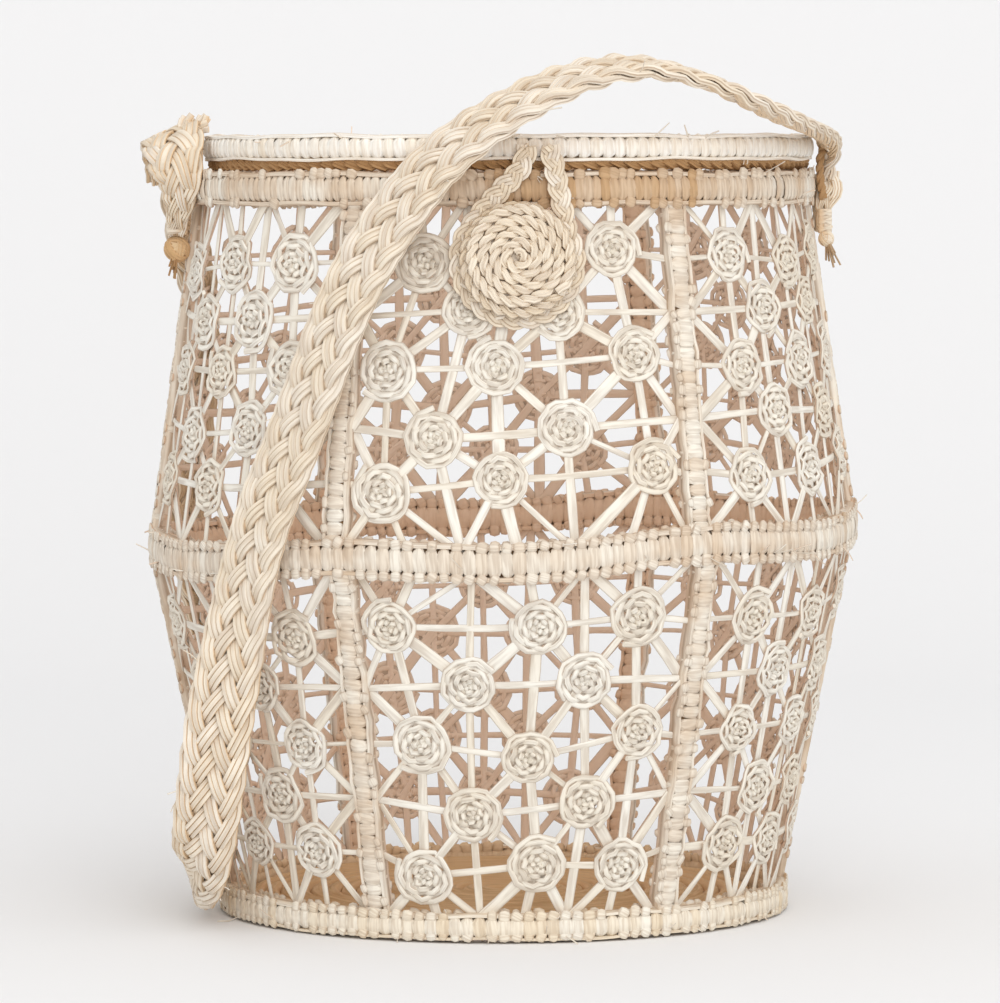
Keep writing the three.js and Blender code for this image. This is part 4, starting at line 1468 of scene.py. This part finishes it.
def make_knot(name, side, straw):
    """A tied ball of straw bands with a frayed tail under it."""
    centre = np.array(KNOT_PLACES[name])
    radius = KNOT_RADII[name]
    straws = Straws()
    turn = np.linspace(0, 2 * math.pi, KNOT_STATIONS, endpoint=False)
    for number, axis in enumerate(KNOT_BANDS):
        axis = unit(np.array(axis, float))
        first = unit(np.cross(axis, KNOT_ASKEW))
        second = np.cross(axis, first)
        spokes = np.outer(np.cos(turn), first) + np.outer(np.sin(turn), second)
        band = centre + spokes * radius * (BAND_REACH + BAND_LAYER * number)
        wide, thick = radius * BAND_WIDE, radius * BAND_THICK
        straws.sweep(band, spokes, wide, thick, KNOT_TONES[number], RIDGED_STRAND, closed=True)
    right, out = rightward(side * math.pi / 2), outward(side * math.pi / 2)
    for _ in range(TAIL_STRAWS):
        spread = scatter.normal(0, TAIL_SPREAD, 2)
        way = unit(-UP + spread[0] * right + abs(spread[1]) * out)
        tip = centre + way * scatter.uniform(*TAIL_LENGTHS) - UP * TAIL_DROOP
        run = np.array([centre + way * radius * TAIL_ROOT, centre + way * radius, tip])
        straws.sweep(run, out, *TAIL_STRAW, 1.0, groove_shade=BROWN_AND_SHADE_GROOVE)
    node = f"strap_knot_{name}"
    dress(straws.make(f"{node}_bands", straw), "basket", "braided_straw", node)


for name, side, straw in (("left", -1, COILED), ("right", 1, BRAIDED)):
    make_ear(name, side)
    make_knot(name, side, straw)


def make_hook():
    """A brown cord inside the strap's turn at its right end, dark partly for its straw and partly as painted
    shade in the hollow.
    """
    straws = Straws()
    run = smooth_run(HOOK_STOPS, HOOK_STEP)
    rope(straws, run, outward(math.pi / 2), HOOK_CORD, HOOK_PITCH, 1.0, BROWN_AND_SHADE_GROOVE)
    dress(straws.make("strap_hook_cord", COILED), "basket", "coiled_straw")


make_hook()

# Loose fibres that stand off the rings and the strap


def make_fibres(name, body, roots):
    """Fine bent fibres, each from a root that has a place and a way out, none of them under the floor."""
    straws = Straws()
    for place, out in roots:
        bend = unit(scatter.normal(0, 1, 3))
        way = unit(out + FIBRE_STRAY * unit(scatter.normal(0, 1, 3)))
        length = scatter.uniform(*FIBRE_LENGTHS)
        run = [place + length * (way * share + FIBRE_BEND * bend * share**2) for share in FIBRE_STATIONS]
        run = np.array(run)
        run[:, 2] = np.maximum(run[:, 2], FIBRE_THICK)
        straws.sweep(run, bend + FIBRE_TURN, FIBRE_THICK * FIBRE_WIDE, FIBRE_THICK, one_tone(), oval(4))
    dress(straws.make(name, OPENWORK), body, "openwork_straw")


def ring_roots(ring, count, shift):
    angles = np.sort(scatter.uniform(0, 2 * math.pi, count))
    edges = [ring["bottom"] + FIBRE_LOW, ring["top"] - FIBRE_HIGH]
    heights = scatter.choice(edges, count) + shift(angles)
    return [
        (outward(angle) * (ring["outside"] - FIBRE_ROOT) + UP * height, outward(angle))
        for angle, height in zip(angles, heights)
    ]


def strap_roots(count):
    route = smooth_run(STRAP_ROUTE, STRAP_STEP)
    picks = scatter.integers(STRAP_BARE_STEPS, len(route) - STRAP_BARE_STEPS, count)
    along = unit(np.gradient(route[:, :3], axis=0))
    across = unit(np.cross(route[:, 3:], along)) * scatter.choice([-1, 1], len(route))[:, None]
    return [(route[pick, :3] + across[pick] * STRAP_WIDTH * STRAP_EDGE, across[pick]) for pick in picks]


basket_roots = ring_roots(BASE, FIBRE_COUNTS["base"], level)
basket_roots += ring_roots(WAIST, FIBRE_COUNTS["waist"], waist_shift)
basket_roots += ring_roots(RIM, FIBRE_COUNTS["rim"], level)
basket_roots += strap_roots(FIBRE_COUNTS["strap"])
make_fibres("basket_fibres", "basket", basket_roots)
lid_roots = [(place + LID_SHIFT, out) for place, out in ring_roots(LID, FIBRE_COUNTS["lid"], lid_shift)]
make_fibres("lid_fibres", "lid", lid_roots)

# Hinge lashings: straw bindings over the backs of the rim and the lid


def make_lashing(name):
    node = f"hinge_lashing_{name}"
    low, high = (np.array(corner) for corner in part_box(node))
    middle = (low + high) / 2
    angle = math.atan2(middle[0], -middle[1])
    right, out = rightward(angle), outward(angle)
    rings = 3 * [(RIM["outside"], np.zeros(3))] + 3 * [(LID["outside"], LID_SHIFT)]
    rim_heights = [low[2] + LASHING_END, low[2] + LASHING_BEND, RIM["top"] - LASHING_GAP]
    lid_heights = [LID["bottom"] + LASHING_GAP, high[2] - LASHING_BEND, high[2] - LASHING_END]
    stops = np.array([
        out * (radius + proud) + UP * height + shift
        for (radius, shift), proud, height in zip(rings, LASHING_PROUD, rim_heights + lid_heights)
    ])
    straws = Straws()
    wide = LASHING_WIDE / LASHING_STRIPS
    for strip in range(LASHING_STRIPS):
        aside = right * (strip - (LASHING_STRIPS - 1) / 2) * wide
        run = smooth_run(stops + aside, LASHING_STEP)
        straws.sweep(run, out, wide * LASHING_LAP, LASHING_THICK, one_tone(*LASHING_TONE))
    lashing = straws.make(f"{node}_straws", BRAIDED)
    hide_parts(node)
    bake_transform(lashing)


make_lashing("left")
make_lashing("right")

# Studio: a pale sweep, an even sky, two large soft lamps and one for the backdrop


def make_paper():
    """Pale paper, which a camera behind the sweep looks through."""
    material = bpy.data.materials.new("studio paper")
    material.use_nodes = True
    tree = material.node_tree
    shader = tree.nodes["Principled BSDF"]
    shader.inputs["Base Color"].default_value = srgb(PAPER)
    shader.inputs["Roughness"].default_value = PAPER_ROUGHNESS
    shader.inputs["Specular IOR Level"].default_value = 0.0
    side = tree.nodes.new("ShaderNodeNewGeometry")
    ray = tree.nodes.new("ShaderNodeLightPath")
    clear = tree.nodes.new("ShaderNodeBsdfTransparent")
    cut = tree.nodes.new("ShaderNodeMixShader")
    from_behind = math_node(tree, "MULTIPLY", side.outputs["Backfacing"], ray.outputs["Is Camera Ray"])
    tree.links.new(from_behind, cut.inputs["Fac"])
    tree.links.new(shader.outputs["BSDF"], cut.inputs[1])
    tree.links.new(clear.outputs["BSDF"], cut.inputs[2])
    tree.links.new(cut.outputs["Shader"], tree.nodes["Material Output"].inputs["Surface"])
    return material


def select_edges(piece, wanted):
    """Selects the edges whose ends are both at a wanted place."""
    for edge in piece.data.edges:
        edge.select = all(wanted(piece.data.vertices[i].co) for i in edge.vertices)


def make_sweep():
    """A floor that turns up into a wall behind the basket."""
    bpy.ops.object.select_all(action="DESELECT")
    bpy.ops.mesh.primitive_plane_add(size=1)
    sweep = bpy.context.object
    sweep.name = "studio_sweep"
    bpy.ops.object.mode_set(mode="EDIT")
    bpy.ops.mesh.select_all(action="SELECT")
    bpy.ops.transform.resize(value=SWEEP_SIZE)
    bpy.ops.transform.translate(value=SWEEP_MIDDLE)
    bpy.ops.mesh.select_all(action="DESELECT")
    bpy.ops.object.mode_set(mode="OBJECT")
    select_edges(sweep, lambda place: place.y > SWEEP_BACK)
    bpy.ops.object.mode_set(mode="EDIT")
    bpy.ops.mesh.select_mode(type="EDGE")
    bpy.ops.mesh.extrude_region_move(TRANSFORM_OT_translate={"value": SWEEP_WALL})
    bpy.ops.mesh.select_all(action="DESELECT")
    bpy.ops.object.mode_set(mode="OBJECT")
    select_edges(sweep, lambda place: place.y > SWEEP_BACK and place.z < SWEEP_BEND)
    bpy.ops.object.mode_set(mode="EDIT")
    bpy.ops.mesh.bevel(offset=SWEEP_BEND, segments=SWEEP_BEND_STEPS)
    bpy.ops.object.mode_set(mode="OBJECT")
    finish_piece(sweep, make_paper())


def light_sky():
    """An even sky, a little brighter where the camera sees it."""
    world = bpy.data.worlds.new("studio sky")
    bpy.context.scene.world = world
    world.use_nodes = True
    tree = world.node_tree
    sky = tree.nodes["Background"]
    sky.inputs["Color"].default_value = SKY
    seen = tree.nodes.new("ShaderNodeLightPath").outputs["Is Camera Ray"]
    strength = math_node(tree, "MULTIPLY_ADD", seen, SKY_SEEN_MORE)
    strength.node.inputs[2].default_value = SKY_STRENGTH
    tree.links.new(strength, sky.inputs["Strength"])


def add_lamp(name, place, aim, size, power):
    lamp = bpy.data.lights.new(name, "AREA")
    lamp.shape = "DISK"
    lamp.size = size
    lamp.energy = power
    stand = bpy.data.objects.new(name, lamp)
    stand.location = place
    stand.rotation_euler = (Vector(aim) - stand.location).to_track_quat("-Z", "Y").to_euler()
    bpy.context.scene.collection.objects.link(stand)


make_sweep()
light_sky()
for name, lamp in LAMPS.items():
    add_lamp(name, *lamp)
bpy.context.scene.view_settings.view_transform = "Standard"
